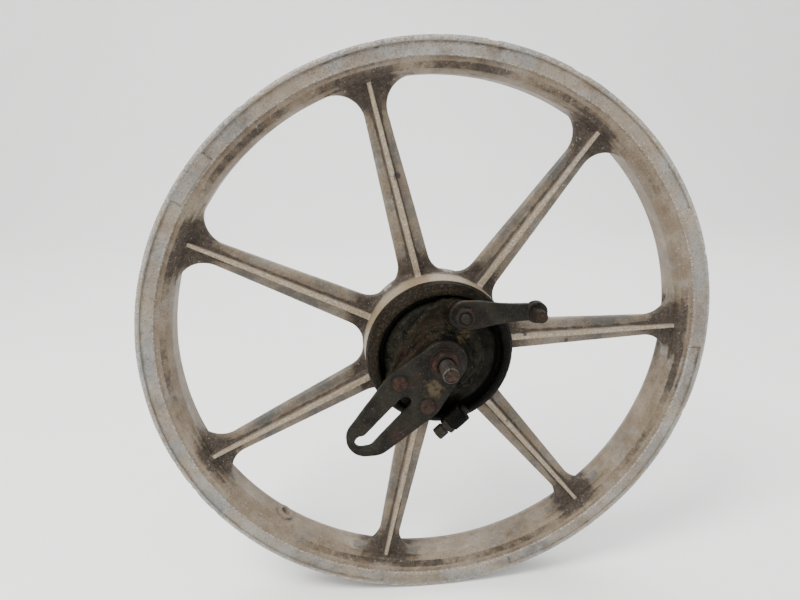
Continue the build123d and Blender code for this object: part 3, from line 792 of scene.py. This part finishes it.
def spoke_stations():
    """(radius, half width) down a spoke: hub fillet, straight taper, rim fillet."""
    width = WEB_HALF + WEB_TAPER * WEB_HALF_AT

    def fillet_centre(limit_r, fillet, sign):
        """Centre of the fillet tangent to the spoke's edge and to the circle of limit_r."""
        circle_r = along = limit_r + sign * fillet
        for _ in range(40):
            across = width - WEB_TAPER * along + fillet * math.sqrt(1 + WEB_TAPER ** 2)
            along = math.sqrt(circle_r ** 2 - across ** 2)
        return along, across

    hub_c = fillet_centre(HUB_R, WINDOW_FILLET_HUB, 1)
    rim_c = fillet_centre(RIM_BORE_R, WINDOW_FILLET_RIM, -1)
    slope = math.atan(WEB_TAPER)
    edge = math.atan2(-math.cos(slope), -math.sin(slope))
    inward, outward = math.atan2(-hub_c[1], -hub_c[0]), math.atan2(rim_c[1], rim_c[0])
    hub_arc = arc_points(hub_c, WINDOW_FILLET_HUB, inward, edge, 12)
    rim_arc = arc_points(rim_c, WINDOW_FILLET_RIM, edge, outward, 16)
    first, last = np.array(hub_arc[-1]), np.array(rim_arc[0])
    straight = [tuple(first + (last - first) * k / 60) for k in range(1, 60)]
    polar = [(math.hypot(along, across), across) for along, across in hub_arc + straight + rim_arc]
    inside = [(HUB_R - 2.4 + 0.8 * k, polar[0][1]) for k in range(2)]
    beyond = [(RIM_BORE_R + 0.8 * k, polar[-1][1]) for k in range(1, 4)]
    return inside + polar + beyond


def down_spoke(ends, radius):
    """A size of the ribs at a radius, from its sizes at the spoke's two ends."""
    return ends[0] + (ends[1] - ends[0]) * (radius - 54) / 156


def flare(distance, reach):
    """Rise of a round inside corner of that reach, at a distance from the wall."""
    d = max(0, min(reach, distance))
    return reach - math.sqrt(reach ** 2 - (reach - d) ** 2)


def spoke_section(radius, half_width):
    """Section across a spoke: rib, web and rib, flared where the spoke meets hub and rim."""
    crest, root, near, far = (down_spoke(ends, radius)
                              for ends in (CREST_HALF, ROOT_HALF, RIB_NEAR, RIB_FAR))
    rise = flare(radius - HUB_R, 3.5) + flare(RIM_BORE_R - radius, 3.5)
    if radius < HUB_R or radius > RIM_BORE_R:
        rise = 3.5
    top, bottom = WEB_OUT + WEB_HALF_THICK + rise, WEB_OUT - WEB_HALF_THICK - rise
    near += flare(radius - HUB_R, 2.2) + flare(205.4 - radius, 2.5)
    far -= flare(radius - HUB_R, 2.2) + flare(RIM_BORE_R - radius, 2.5)
    root_near = crest + (root - crest) * (near - top) / (near - WEB_OUT)
    root_far = crest + (root - crest) * (bottom - far) / (WEB_OUT - far)
    spread = 0.5 * rise
    half = [(near, crest, 0.7), (top, root_near + spread, 2.6), (top, half_width, 2.2),
            (bottom, half_width, 2.2), (bottom, root_far + spread, 2.6), (far, crest, 0.7)]
    outline = round_outline(mirrored(half), 5)
    # every side is split in two, so that each section has the same number of points
    middles = [tuple(np.add(p, outline[(i + 1) % len(outline)]) / 2) for i, p in enumerate(outline)]
    return np.array([p for pair in zip(outline, middles) for p in pair])


def make_spoke(index):
    """One spoke as a loft along the radius; its ends are buried in the hub and in the rim."""
    rows = []
    for radius, half_width in spoke_stations():
        out, across = spoke_section(radius, half_width).T
        along = np.sqrt(radius ** 2 - across ** 2)
        x, z = turn(SPOKE_PHASE + index * 360 / SPOKES, along, across)
        rows.append(np.stack([x, -out, z], axis=-1))
    return loft(f"spoke_{index}", rows, 50)


def make_drum():
    """Hub of the casting: drum wall, back, bearing housing."""
    corners = [
        (53, 34.5, 0.5), (55.9, 34.5, 1), (57, 18, 6), (57, -4, 1),
        (55, -6, 1), (49, -6, 1.2), (47, 3.5, 2.5), (26, 3.5, 3.5),
        (23.5, -36.5, 1.5), (22.5, -39.5, 1), (16, -39.5, 0.5), (16, -26, 0.3),
        (13.5, -26, 0.3), (13.5, 10, 0.3), (16, 10, 0.3), (16, 21, 0.4),
        (21, 21, 0.8), (22, 19, 1), (24, 10, 2), (53, 10, 0.5),
    ]
    return lathe("drum", densify(round_outline(corners), 1.6), 360, crease=40)


def make_gusset(index):
    """Stiffener behind the drum, thinner at its edge than at its root."""
    corners = [(20, 5, 0), (50, 5, 0), (50, -6, 4), (24, -30, 6), (20, -30, 0)]
    outline = np.array(densify(round_outline(corners, 6), 2))
    pull = outline.mean(axis=0) - outline
    pull /= np.linalg.norm(pull, axis=1)[:, None]
    rows = []
    for across, shrink in ((-2.6, 0.8), (-2.4, 0.3), (-1.9, 0), (1.9, 0), (2.4, 0.3), (2.6, 0.8)):
        radius, out = (outline + pull * shrink).T
        x, z = turn(SPOKE_PHASE + index * 360 / SPOKES, radius, across)
        rows.append(np.stack([x, -out, z], axis=-1))
    return loft(f"gusset_{index}", rows, 40)


# dirt on the rim's inner slope: (angle, half span in degrees, strength)
RIM_STAINS = [(-9, 13, 0.95), (4, 8, 0.7), (62, 16, 0.55), (84, 14, 0.8), (108, 14, 0.8),
              (132, 18, 0.75), (158, 14, 0.7), (184, 12, 0.5), (207, 9, 0.4), (247, 16, 0.5),
              (268, 14, 0.75), (290, 16, 0.65), (310, 9, 0.6), (330, 12, 0.5), (38, 10, 0.35)]
# dark marks on the spokes: (spoke, radius, across, size)
SPOKE_MARKS = [(0, 74, 2.75, 2.4), (2, 135, -3.4, 3.4), (0, 112, -8.5, 2.2),
               (6, 96, 1, 1.8), (5, 120, 0.6, 1.4), (5, 150, 0.9, 1.3)]


def paint_casting(piece):
    """Amounts of dirt, painted shade, painted highlights, warmth and wear over the whole wheel casting.
    """
    points, x, out, z, radius = wheel_coords(piece)
    angle = np.degrees(np.arctan2(z, x))
    step = 360 / SPOKES
    local = (angle - SPOKE_PHASE + step / 2) % step - step / 2
    from_spoke = np.abs(radius * np.sin(np.radians(local)))
    on_spoke = (radius > HUB_R + 0.3) & (radius < RIM_BORE_R - 0.2)
    # painted shade and dirt: the rib's flanks and the corners between rib and web are darker, darkest
    # near both ends of the spoke; the crests are lighter, a painted highlight
    past_crest = from_spoke - down_spoke(CREST_HALF, radius)
    beside = smooth_step(past_crest, 3.6, 0.9) * smooth_step(past_crest, -0.1, 0.7)
    ends = smooth_step(radius, 165, 200) + smooth_step(radius, 84, 60)
    web = smooth_step(past_crest, 0, 1.5)
    fade = np.where(radius > 150, smooth_step(from_spoke, 30, 10), 1)
    crests = on_spoke * smooth_step(past_crest, 0.5, -0.4)
    grime_and_shade = on_spoke * (0.66 * beside + (0.20 + 0.80 * ends * fade) * web) - 0.45 * crests
    # the rim: dirt patches on its inner slope and band, darker round the foot of each spoke, painted
    # shadow lines in its steps and round the raised pads
    on_rim = radius >= RIM_BORE_R - 0.2
    stain = np.zeros(len(points))
    for centre, half, strength in RIM_STAINS:
        spread = smooth_step(degrees_apart(angle, centre), half, half * 0.25)
        stain = np.maximum(stain, strength * spread)
    slope = smooth_step(radius, 216.2, 214.6)
    band = smooth_step(radius, 216, 217) * smooth_step(radius, 224.6, 223.8)
    joint = smooth_step(radius, 212, 203) * smooth_step(from_spoke, 36, 4)
    # a painted shadow line in the step under the outer lip
    step_line = hill(radius, 224.2, 0.9) * (np.abs(out) < 22) * (np.abs(out) > 20.2)
    rim_grime_and_shade = (0.54 * slope + 0.50 * band) * stain + 0.90 * joint
    rim_grime_and_shade += 0.5 * step_line + 0.3 * hill(radius, 213.9, 0.7)
    # painted shadow lines round the raised pads
    for start, end in PAD_SPANS:
        border = hill(into_pad(angle, radius, start, end), -0.2, 0.9)
        rim_grime_and_shade += 0.38 * band * border * (np.abs(out) < 23)
    rim_grime_and_shade += 0.35 * (np.abs(out) < 17.9) * (radius > 207)
    # the hub: tan outside the drum, brown at the foot of every spoke
    hub = radius <= HUB_R + 0.3
    grime_and_shade += on_rim * rim_grime_and_shade
    grime_and_shade += hub * (0.25 + 0.55 * smooth_step(out, 20, 12) * (out > WEB_OUT))
    grime_and_shade += 0.35 * (out < -3) * (radius < 70) - 0.25 * hub * smooth_step(out, 20, 28)
    paint(piece, "grime_and_shade", grime_and_shade)
    # tan outside the drum is its colour; tan on the spoke crests is a painted highlight
    paint(piece, "tan", 0.95 * hub * smooth_step(out, 14, 22) + 0.85 * crests)
    paint(piece, "warm", on_rim * (0.35 + 0.45 * slope) + on_spoke * (0.35 + 0.4 * beside) + hub * 0.8)
    paint(piece, "dull", np.maximum(on_spoke * smooth_step(past_crest, 0.2, 1.2),
                                    on_rim * slope * 0.30))
    # wear on the outer lip, and a painted highlight line along the ridge at radius 215.3; the crests'
    # wear is partly a painted highlight
    edges = smooth_step(radius, 225, 226.4) + hill(radius, 215.3, 0.5)
    paint(piece, "wear", crests * 0.6 + on_rim * edges)
    soot_and_shade = 0.75 * (radius < 54) * (out > 8)
    for spoke, mark_r, mark_across, size in SPOKE_MARKS:
        mx, mz = turn(SPOKE_PHASE + spoke * step, mark_r, mark_across)
        mark = smooth_step(np.hypot(x - mx, z - mz), size * 1.7, size * 0.4)
        soot_and_shade = np.maximum(soot_and_shade, mark * (out > 0))
    vx, vz = turn(VALVE_ANGLE, RIM_BORE_R + 2)
    from_valve = np.hypot(np.hypot(x - vx, z - vz), out)
    paint(piece, "soot_and_shade", np.maximum(soot_and_shade, 0.8 * (from_valve < VALVE_HOLE_R + 0.4)))


def make_casting():
    at = turn(VALVE_ANGLE, RIM_BORE_R)
    parts = [cut(piece, drill("valve_drill", at, VALVE_ANGLE, 0, VALVE_HOLE_R))
             for piece in (make_rim(), valve_boss())]
    parts.append(make_drum())
    parts += [make_spoke(k) for k in range(SPOKES)]
    parts += [make_gusset(k) for k in range(SPOKES)]
    casting = tidy(join(parts, "wheel_casting"), 40)
    paint_casting(casting)
    _, _, out, _, radius = wheel_coords(casting)
    machined = (radius < 54.5) & (out > 9)
    roughen(casting, [(0.16, 26), (0.07, 4)], np.where(machined, 0.1, 1))
    settle(casting, "cast_wheel", "wheel", "wheel_rim", "wheel_spokes", "hub_drum")


make_casting()

# ---- brake plate

PLATE_FRONT = [(6, 53.5), (21.5, 53.5), (22.3, 50), (23.5, 48.5), (30, 47.5), (37, 46.3),
               (40.2, 44.9), (42.6, 42.8), (44.6, 40.2), (45.9, 40), (46.9, 41.5), (47.9, 45.4),
               (49.4, 46.4), (51, 46), (53.6, 44.3), (55.8, 41.5), (56.9, 38.5), (57, 35.8)]
PLATE_BACK = [(56.5, 35.3), (49.4, 35.3), (49.4, 32.5), (47.2, 32.5), (47.2, 36), (45, 36),
              (42, 38.5), (38, 41), (17, 43.5), (14, 41), (14, 27), (6, 27)]
PLATEAU_R, PLATEAU_OUT, SEAT_OUT = 31, 50, 53.45
CRESCENT_AT, CRESCENT_R = (54, -33.6), 96


def make_plate():
    """Brake plate: a turned dome with a raised plateau, seats and bosses cast on it."""
    corners = PLATE_FRONT + PLATE_BACK
    radii = [0.2] + [0.8] * (len(corners) - 2) + [0.2]
    rounded = round_outline([(*corner, soft) for corner, soft in zip(corners, radii)], 3)
    plate = lathe("plate", densify(rounded, 0.42), 540, crease=60)
    points, x, out, z, radius = wheel_coords(plate)
    along, across = along_across(x, z, ARM_ANGLE)
    front_out = np.interp(radius, *zip(*PLATE_FRONT))
    front = (out > front_out - 1.6) & (radius < 47)
    seat = np.maximum.reduce([np.abs(along - 24) - 23, np.abs(across) - 21.5, radius - 45])
    raised = [(raised_edge(x, z, across), PLATEAU_OUT), (seat, SEAT_OUT),
              (np.hypot(x - CAM[0], z - CAM[1]) - 11.5, SEAT_OUT)]
    for distance, level in raised:
        lift = smooth_step(distance, 0.9, -0.6)
        out = np.where(front & (out < level), out + (level - out) * lift, out)
    rings = 0.35 * hill(radius, 25, 0.5) + 0.3 * hill(radius, 28, 0.5)
    points[:, 1] = -(out + rings * front * (out < 50.5))
    set_coords(plate, points)
    plate = tidy(join([plate, adjuster_lug()], "brake_plate_casting"), 45)
    roughen(plate, [(0.30, 14), (0.14, 3), (0.06, 1)], coords(plate)[:, 1] < -37)
    paint_plate(plate)
    settle(plate, "brake_casting", "root", "brake_plate")


def adjuster_lug():
    """Lug that the cable adjuster screws into, melted into the plate's edge."""
    half_long, half_wide = 7, 6.5
    centre = shifted(CABLE_FOOT, CABLE_ANGLE, half_long)
    barrel = lathe("lug_barrel", disc_outline(7.4, -half_long, half_long, 1), 64)
    lay(barrel, centre, CABLE_ANGLE, CABLE_OUT)
    outline = rectangle(centre, CABLE_ANGLE, half_long, half_wide)
    foot = slab("lug_foot", [outline], 42.5, CABLE_OUT, 0.8)
    lug = cast_blend([barrel, foot], "lug", 0.5, 4)
    return cut(lug, drill("lug_drill", centre, CABLE_ANGLE, CABLE_OUT, STUD_R + 0.05))


def raised_edge(x, z, across):
    """Distance past the nearest edge of the plateau and its crescent, negative inside."""
    radius = np.hypot(x, z)
    sweep = np.hypot(x - CRESCENT_AT[0], z - CRESCENT_AT[1]) - CRESCENT_R
    crescent = np.maximum.reduce([radius - 45.2, sweep, across - 4])
    return np.minimum(radius - PLATEAU_R, crescent)


def paint_plate(plate):
    _, x, out, z, radius = wheel_coords(plate)
    angle = np.degrees(np.arctan2(z, x))
    along, across = along_across(x, z, ARM_ANGLE)
    # brown ring, stronger on the upper-left side, partly a painted lit side
    paint(plate, "ring", smooth_step(radius, 46.4, 48.4) * (0.4 + 0.6 * facing(angle, 130, -0.5, 0.9)))
    # painted shade: darker in the groove round the dome and over the lower right
    groove = smooth_step(out, 43.6, 41.2) * smooth_step(radius, 47.6, 46.8) * (radius > 38)
    lower_right = facing(angle, -35, 0.2, 0.95) * smooth_step(radius, 36, 42)
    paint(plate, "soot_and_shade", np.maximum(groove, lower_right * 0.9))
    # painted light: lighter on the upper-left side, with painted highlight lines along the raised edges
    # and a lighter area round radius 26
    upper_left = facing(angle, 150, -0.2, 0.9)
    edges = hill(raised_edge(x, z, across), 0.4, 0.7) * (out > 44.5)
    dust_and_sheen = 0.75 * edges + 0.55 * upper_left * smooth_step(out, 42, 45) + 0.7 * hill(radius, 26, 6)
    paint(plate, "dust_and_sheen", dust_and_sheen)
    paint(plate, "rust", smooth_step(out, 48.5, 49.8) * upper_left * 0.9)
    warm_x, warm_z = turn(52, 24)
    tan = 0.9 * hill(x, warm_x, 11) * hill(z, warm_z, 11)
    paint(plate, "tan", tan + 0.5 * hill(along, 12, 18) * hill(across, 0, 18))


make_plate()

# ---- anchor arm and its rivets

SLOT_HALF = 4.8
# the slot's middle line as (along, across): a long run and a short bent end
SLOT_START, SLOT_BEND, SLOT_END = (42.3, -0.7), (84, -0.9), (87.8, -3.9)


def slot_loop():
    bend = math.atan2(SLOT_END[1] - SLOT_BEND[1], SLOT_END[0] - SLOT_BEND[0])
    quarter = math.pi / 2
    inner = (SLOT_BEND[0] + SLOT_HALF * math.tan(bend / 2), SLOT_BEND[1] - SLOT_HALF)
    points = arc_points(SLOT_START, SLOT_HALF, quarter, 3 * quarter, 20) + [inner]
    points += arc_points(SLOT_END, SLOT_HALF, bend - quarter, bend + quarter, 20)
    points += arc_points(SLOT_BEND, SLOT_HALF, bend + quarter, quarter, 6)
    return [turn(ARM_ANGLE, *p) for p in points]


def make_arm():
    circles = [(0, 0, 17), (RIVET_ALONG, RIVET_ACROSS, 9.7), (RIVET_ALONG, -RIVET_ACROSS, 9.7),
               (83, -3, 15.2), (79, 1.8, 14.6)]
    cloud = []
    for along, across, radius in circles:
        cloud += arc_points(turn(ARM_ANGLE, along, across), radius, 0, 2 * math.pi, 72)[:-1]
    arm = slab("anchor_arm_plate", [hull(cloud), slot_loop()], ARM_FACE, ARM_FACE + ARM_THICK, 0.7)
    arm = tidy(cast_blend([arm], "anchor_arm_forged", 0.5, 2), 60)
    roughen(arm, [(0.18, 9), (0.12, 2.4), (0.05, 1)])
    points = coords(arm)
    points[:, 1] = np.clip(points[:, 1], -ARM_FACE - ARM_THICK - 0.15, -ARM_FACE + 0.02)
    set_coords(arm, points)
    along, across = along_across(points[:, 0], points[:, 2], ARM_ANGLE)
    # a tan patch by the first rivet, partly a painted highlight
    tan = 0.95 * hill(along, 19, 8) * hill(across, 8, 9) + 0.35 * hill(along, 30, 12)
    paint(arm, "tan", tan)
    right = smooth_step(across, 5, 9)
    paint(arm, "rust", 0.9 * right * hill(along, 66, 14) + 0.3 * (along < 30))
    chips = hill(along, 64, 6) * hill(across, 14.5, 3.5)
    chips += 0.8 * hill(along, 47, 1.6) * hill(across, 16.5, 1.4)
    paint(arm, "scratch", 1.3 * chips)
    settle(arm, "dark_steel", "root", "anchor_arm")


def rivet_head(name, x, z):
    """Hammered rivet head on the arm's face, with its shank below."""
    radius, out = 6.3, ARM_FACE + ARM_THICK
    outline = [(0, 43.5), (4, 43.5), (4, out - 0.1), (radius, out - 0.1), (radius, out + 0.7)]
    for k in range(1, 12):
        a = math.radians(90 * k / 12)
        outline.append((radius * math.cos(a) ** 0.8, out + 0.7 + 2.1 * math.sin(a)))
    outline.append((0, out + 2.8))
    head = lathe(name, densify(outline, 0.5), 96, (x, z), crease=50)
    points = coords(head)
    roughen(head, [(0.22, 3.5), (0.10, 1.2)], points[:, 1] < -out)
    edge = np.hypot(points[:, 0] - x, points[:, 2] - z)
    paint(head, "soot_and_shade", smooth_step(edge, radius - 1.2, radius) * 0.9)
    return head


def make_rivets():
    head = rivet_head("anchor_rivet_head", *turn(ARM_ANGLE, RIVET_ALONG, -RIVET_ACROSS))
    settle(head, "rusty_steel", "root", "anchor_rivet")
    at = turn(BRAKE_ANGLE, PIN_AT)
    shank = lathe("pivot_pin_shank", round_outline([
        (0, 16, 0), (5, 16, 0.8), (5, 18, 0.1), (4.2, 18, 0.1), (4.2, 19.2, 0.1),
        (5, 19.2, 0.1), (5, 44, 0), (0, 44, 0)]), 72, at)
    paint(shank, "soot_and_shade", 0.6)
    pin = tidy(join([rivet_head("pivot_pin_head", *at), shank], "shoe_pivot_pin_riveted"), 50)
    settle(pin, "rusty_steel", "root", "shoe_pivot_pin")


make_arm()
make_rivets()

# ---- axle, nuts and washers

NEAR_END, FAR_END = 83.5, 76.5


def make_axle():
    """Axle with threads on both ends; its near face has a turned ring."""
    radius, depth = AXLE_R - 0.05, 0.55
    ring = [(4.95, NEAR_END), (4.9, NEAR_END - 0.5), (4.5, NEAR_END - 0.5), (4.4, NEAR_END),
            (1.4, NEAR_END), (1, NEAR_END - 0.5)]
    near = threaded_rod("axle_near", radius, 0, 57, NEAR_END, 1, depth, ring)
    far = threaded_rod("axle_far", radius, 0, 49, FAR_END, 1.1, depth)
    set_coords(far, coords(far) * (1, -1, 1))
    axle = tidy(join([near, far], "axle_turned"), 28, merge=0.002)
    _, _, out, _, radius = wheel_coords(axle)
    groove = (radius > 4.42) & (radius < 4.93) & (out > 82)
    paint(axle, "soot_and_shade", np.where(radius < 5.7, 0.35, 0.1) + 0.9 * groove)
    paint(axle, "wear", smooth_step(radius, 4.9, 5.2) * (out > 82.2))
    paint(axle, "rust", (np.abs(out) > 66) * 0.7)
    settle(axle, "axle_steel", "root", "axle")


def fit_nut(name, node, across_flats, bore, out0, out1, spin, centre=(0, 0), body="root"):
    piece = nut(name, across_flats, bore, out0, out1, centre, spin)
    paint(piece, "soot_and_shade", layered_noise(coords(piece), 5, 4) * 0.9)
    roughen(piece, [(0.06, 2)])
    settle(piece, "rusty_steel", body, node)


def fit_washer(name, node, bore, radius, out0, out1, slot_name, centre=(0, 0), body="root"):
    outline = round_outline([(bore, out0, 0.15), (radius, out0, 0.3), (radius, out1, 0.3),
                             (bore, out1, 0.15)])
    piece = lathe(name, densify(outline, 0.8), 120, centre)
    points = coords(piece)
    edge = np.hypot(points[:, 0] - centre[0], points[:, 2] - centre[1])
    roughen(piece, [(0.05, 3)], edge > bore + 0.3)
    paint(piece, "soot_and_shade", layered_noise(points, 6, 7) * 0.8)
    settle(piece, slot_name, body, node)


make_axle()
fit_nut("brake_side_hex_nut", "brake_side_nut", 19, AXLE_R, 59.7, 66, 20)
fit_nut("far_hex_nut", "far_axle_nut", 19, AXLE_R, -58.5, -51.5, 10)
fit_washer("brake_side_flat_washer", "brake_side_washer", AXLE_R, 11.5, 58.5, 59.7, "rusty_steel")
fit_washer("far_flat_washer", "far_washer", AXLE_R, 12, -51.5, -50, "rusty_steel")

# ---- lever, cam spindle, cable pin

BOSS_R, EYE_R = 10.7, 8


def make_lever():
    half = [(0, BOSS_R), (6, BOSS_R), (12, 10.3), (17, 9.4), (22, 8.4), (28, 7.6), (34, 7),
            (42, 6.6), (50.8, 6.3)]
    side = half + [(a, -b) for a, b in reversed(half)]
    outline = [shifted(CAM, LEVER_TILT, a, b) for a, b in side]
    front = LEVER_BACK + 5
    body = slab("lever_bar", [outline], LEVER_BACK, front, 0.9)
    boss = lathe("lever_boss", disc_outline(BOSS_R, LEVER_BACK, front, 0.9), 120, CAM)
    eye = lathe("lever_eye", disc_outline(EYE_R, LEVER_BACK, front + 2, 0.9), 96, EYE)
    lever = tidy(cast_blend([body, boss, eye], "brake_lever_forged", 0.42, 3), 60)
    roughen(lever, [(0.16, 7), (0.10, 2), (0.05, 0.9)])
    points = coords(lever)
    points[:, 1] = np.minimum(points[:, 1], -LEVER_BACK + 0.02)
    set_coords(lever, points)
    for centre, radius in ((CAM, 5), (EYE, 4.55)):
        cut(lever, lathe("lever_drill", disc_outline(radius, 50, 66, 0.01), 72, centre))
    tidy(lever, 50)
    _, x, _, z, _ = wheel_coords(lever)
    along, across = along_across(x - CAM[0], z - CAM[1], LEVER_TILT)
    paint(lever, "rust", 0.85 * hill(along, 4, 11))
    paint(lever, "tan", 0.35 * hill(along, 10, 9) * hill(across, -7, 4))
    paint(lever, "scratch", 0.35 * hill(along, 25, 5) * hill(across, -8, 2))
    settle(lever, "dark_steel", "brake_cam", "brake_lever")


def make_spindle():
    stud = threaded_rod("spindle_stud", STUD_R, 59.4, 60.9, 67.5, 0.9, 0.45, centre=CAM)
    shaft = lathe("spindle_shaft", round_outline([
        (0, 27.2, 0), (5.95, 27.2, 0.6), (5.95, 54.5, 0.1), (5, 54.5, 0.1), (5, 59.6, 0.3),
        (0, 59.6, 0)]), 96, CAM)
    corners = [(*corner, 1) for corner in rectangle(CAM, BRAKE_ANGLE, 8.8, 4.9)]
    cam = slab("spindle_cam", [round_outline(corners, 6)], 16, 27.5, 0.6)
    spindle = tidy(join([shaft, stud, cam], "cam_spindle_turned"), 30)
    paint(spindle, "rust", 0.6)
    settle(spindle, "dark_steel", "brake_cam", "cam_spindle")


def make_cable_pin():
    outline = round_outline([
        (0, 51, 0), (4.45, 51, 0.5), (4.45, 52.2, 0.1), (3.8, 52.2, 0.1), (3.8, 53.8, 0.1),
        (4.45, 53.8, 0.1), (4.45, 61.8, 0.2), (5.6, 61.8, 0.4), (5.6, 63.3, 0.4), (4.45, 63.3, 0.4),
        (4.45, 72.5, 0.9), (0, 72.5, 0)])
    pin = lathe("cable_pin_turned", densify(outline, 0.5), 96, EYE)
    roughen(pin, [(0.08, 2.5), (0.05, 1)], coords(pin)[:, 1] < -63)
    tidy(cut(pin, drill("pin_drill", EYE, CABLE_ANGLE, 68.5, 1.3)), 40)
    out = -coords(pin)[:, 1]
    paint(pin, "rust", (out > 64) * 0.9)
    paint(pin, "tan", (out > 71.5) * 0.45)
    settle(pin, "dark_steel", "cable_barrel", "cable_pin")


make_lever()
make_spindle()
make_cable_pin()
fit_washer("lever_flat_washer", "lever_washer", STUD_R, 7.6, 59.5, 60.7, "dark_steel", CAM, "brake_cam")
fit_nut("lever_hex_nut", "lever_nut", 13, STUD_R, 60.7, 65.5, 25, CAM, "brake_cam")

# ---- cable adjuster


def make_adjuster():
    """Screw with a drilled round head and its lock nut, made upright and then laid in place."""
    backwards = CABLE_ANGLE + 180
    head = lathe("adjuster_head", densify(round_outline([
        (1.4, 6.2, 0), (3.1, 4.6, 0.1), (3.1, 13.6, 0.3), (5, 13.6, 0.7), (5, 6, 0.7),
        (4, 6, 0.1)]), 0.8), 72)
    shank = threaded_rod("adjuster_shank", STUD_R, -6.4, -5.6, 17, 0.8, 0.45)
    lay(head, CABLE_FOOT, backwards, CABLE_OUT)
    lay(shank, CABLE_FOOT, CABLE_ANGLE, CABLE_OUT)
    screw = tidy(join([head, shank], "cable_adjuster_screw"), 28)
    roughen(screw, [(0.05, 1.6)])
    paint(screw, "rust", 0.15)
    settle(screw, "dark_steel", "adjuster", "cable_adjuster")
    lock = nut("adjuster_hex_nut", 12, STUD_R, 0.1, 4.6)
    tidy(lay(lock, CABLE_FOOT, backwards, CABLE_OUT), 30)
    paint(lock, "rust", 0.25)
    settle(lock, "dark_steel", "root", "adjuster_lock_nut")


make_adjuster()

# ---- nodes that keep their CAD shape

SLOT_OF = {part["node"]: part["material_slot"] for part in frame["record"]["subparts"]}
for node_name, node in frame["nodes"].items():
    node.data.materials.clear()
    node.data.materials.append(MATERIALS[SLOT_OF[node_name]])
    for polygon in node.data.polygons:
        polygon.material_index = 0

# ---- studio, in metres


def make_stage():
    """Pale floor that curves up into a pale backdrop."""
    low = cad_box[0][2] - 0.0005
    depth, rise, bend, half_width = 1.6, 5, 0.8, 14
    profile = [(-14, low), (depth, low)]
    profile += arc_points((depth, low + bend), bend, -math.pi / 2, 0, 12)[1:]
    profile.append((depth + bend, low + rise))
    points = [(x / MM, y / MM, z / MM) for y, z in profile for x in (-half_width, half_width)]
    floor = tidy(link_mesh("studio_floor", points, grid_faces(len(profile), 2, False, False)), 60)
    paper = Weathered("studio_paper", 0.9, specular=0.2)
    floor.data.materials.append(paper.base((0.93, 0.93, 0.925), (0.95, 0.95, 0.945), 2).finish())


def make_light(name, place, size, power, colour):
    """Round lamp aimed at the origin."""
    data = bpy.data.lights.new(name, "AREA")
    data.shape = "DISK"
    data.size = size
    data.energy = power
    data.color = colour
    lamp = link(name, data)
    lamp.location = place
    lamp.rotation_euler = (-Vector(place)).to_track_quat("-Z", "Y").to_euler()


def make_studio():
    make_stage()
    make_light("key", (-0.9, -0.7, 1.5), 0.7, 46, (1, 0.98, 0.95))
    make_light("fill", (1.6, -1.3, 0.5), 1.6, 8, (0.95, 0.97, 1))
    make_light("back", (0.3, 1.3, 1.6), 1.4, 26, (1, 1, 1))
    world = bpy.data.worlds.new("studio")
    world.use_nodes = True
    sky = world.node_tree.nodes["Background"]
    sky.inputs["Color"].default_value = (1, 1, 1, 1)
    sky.inputs["Strength"].default_value = 1.25
    bpy.context.scene.world = world


make_studio()
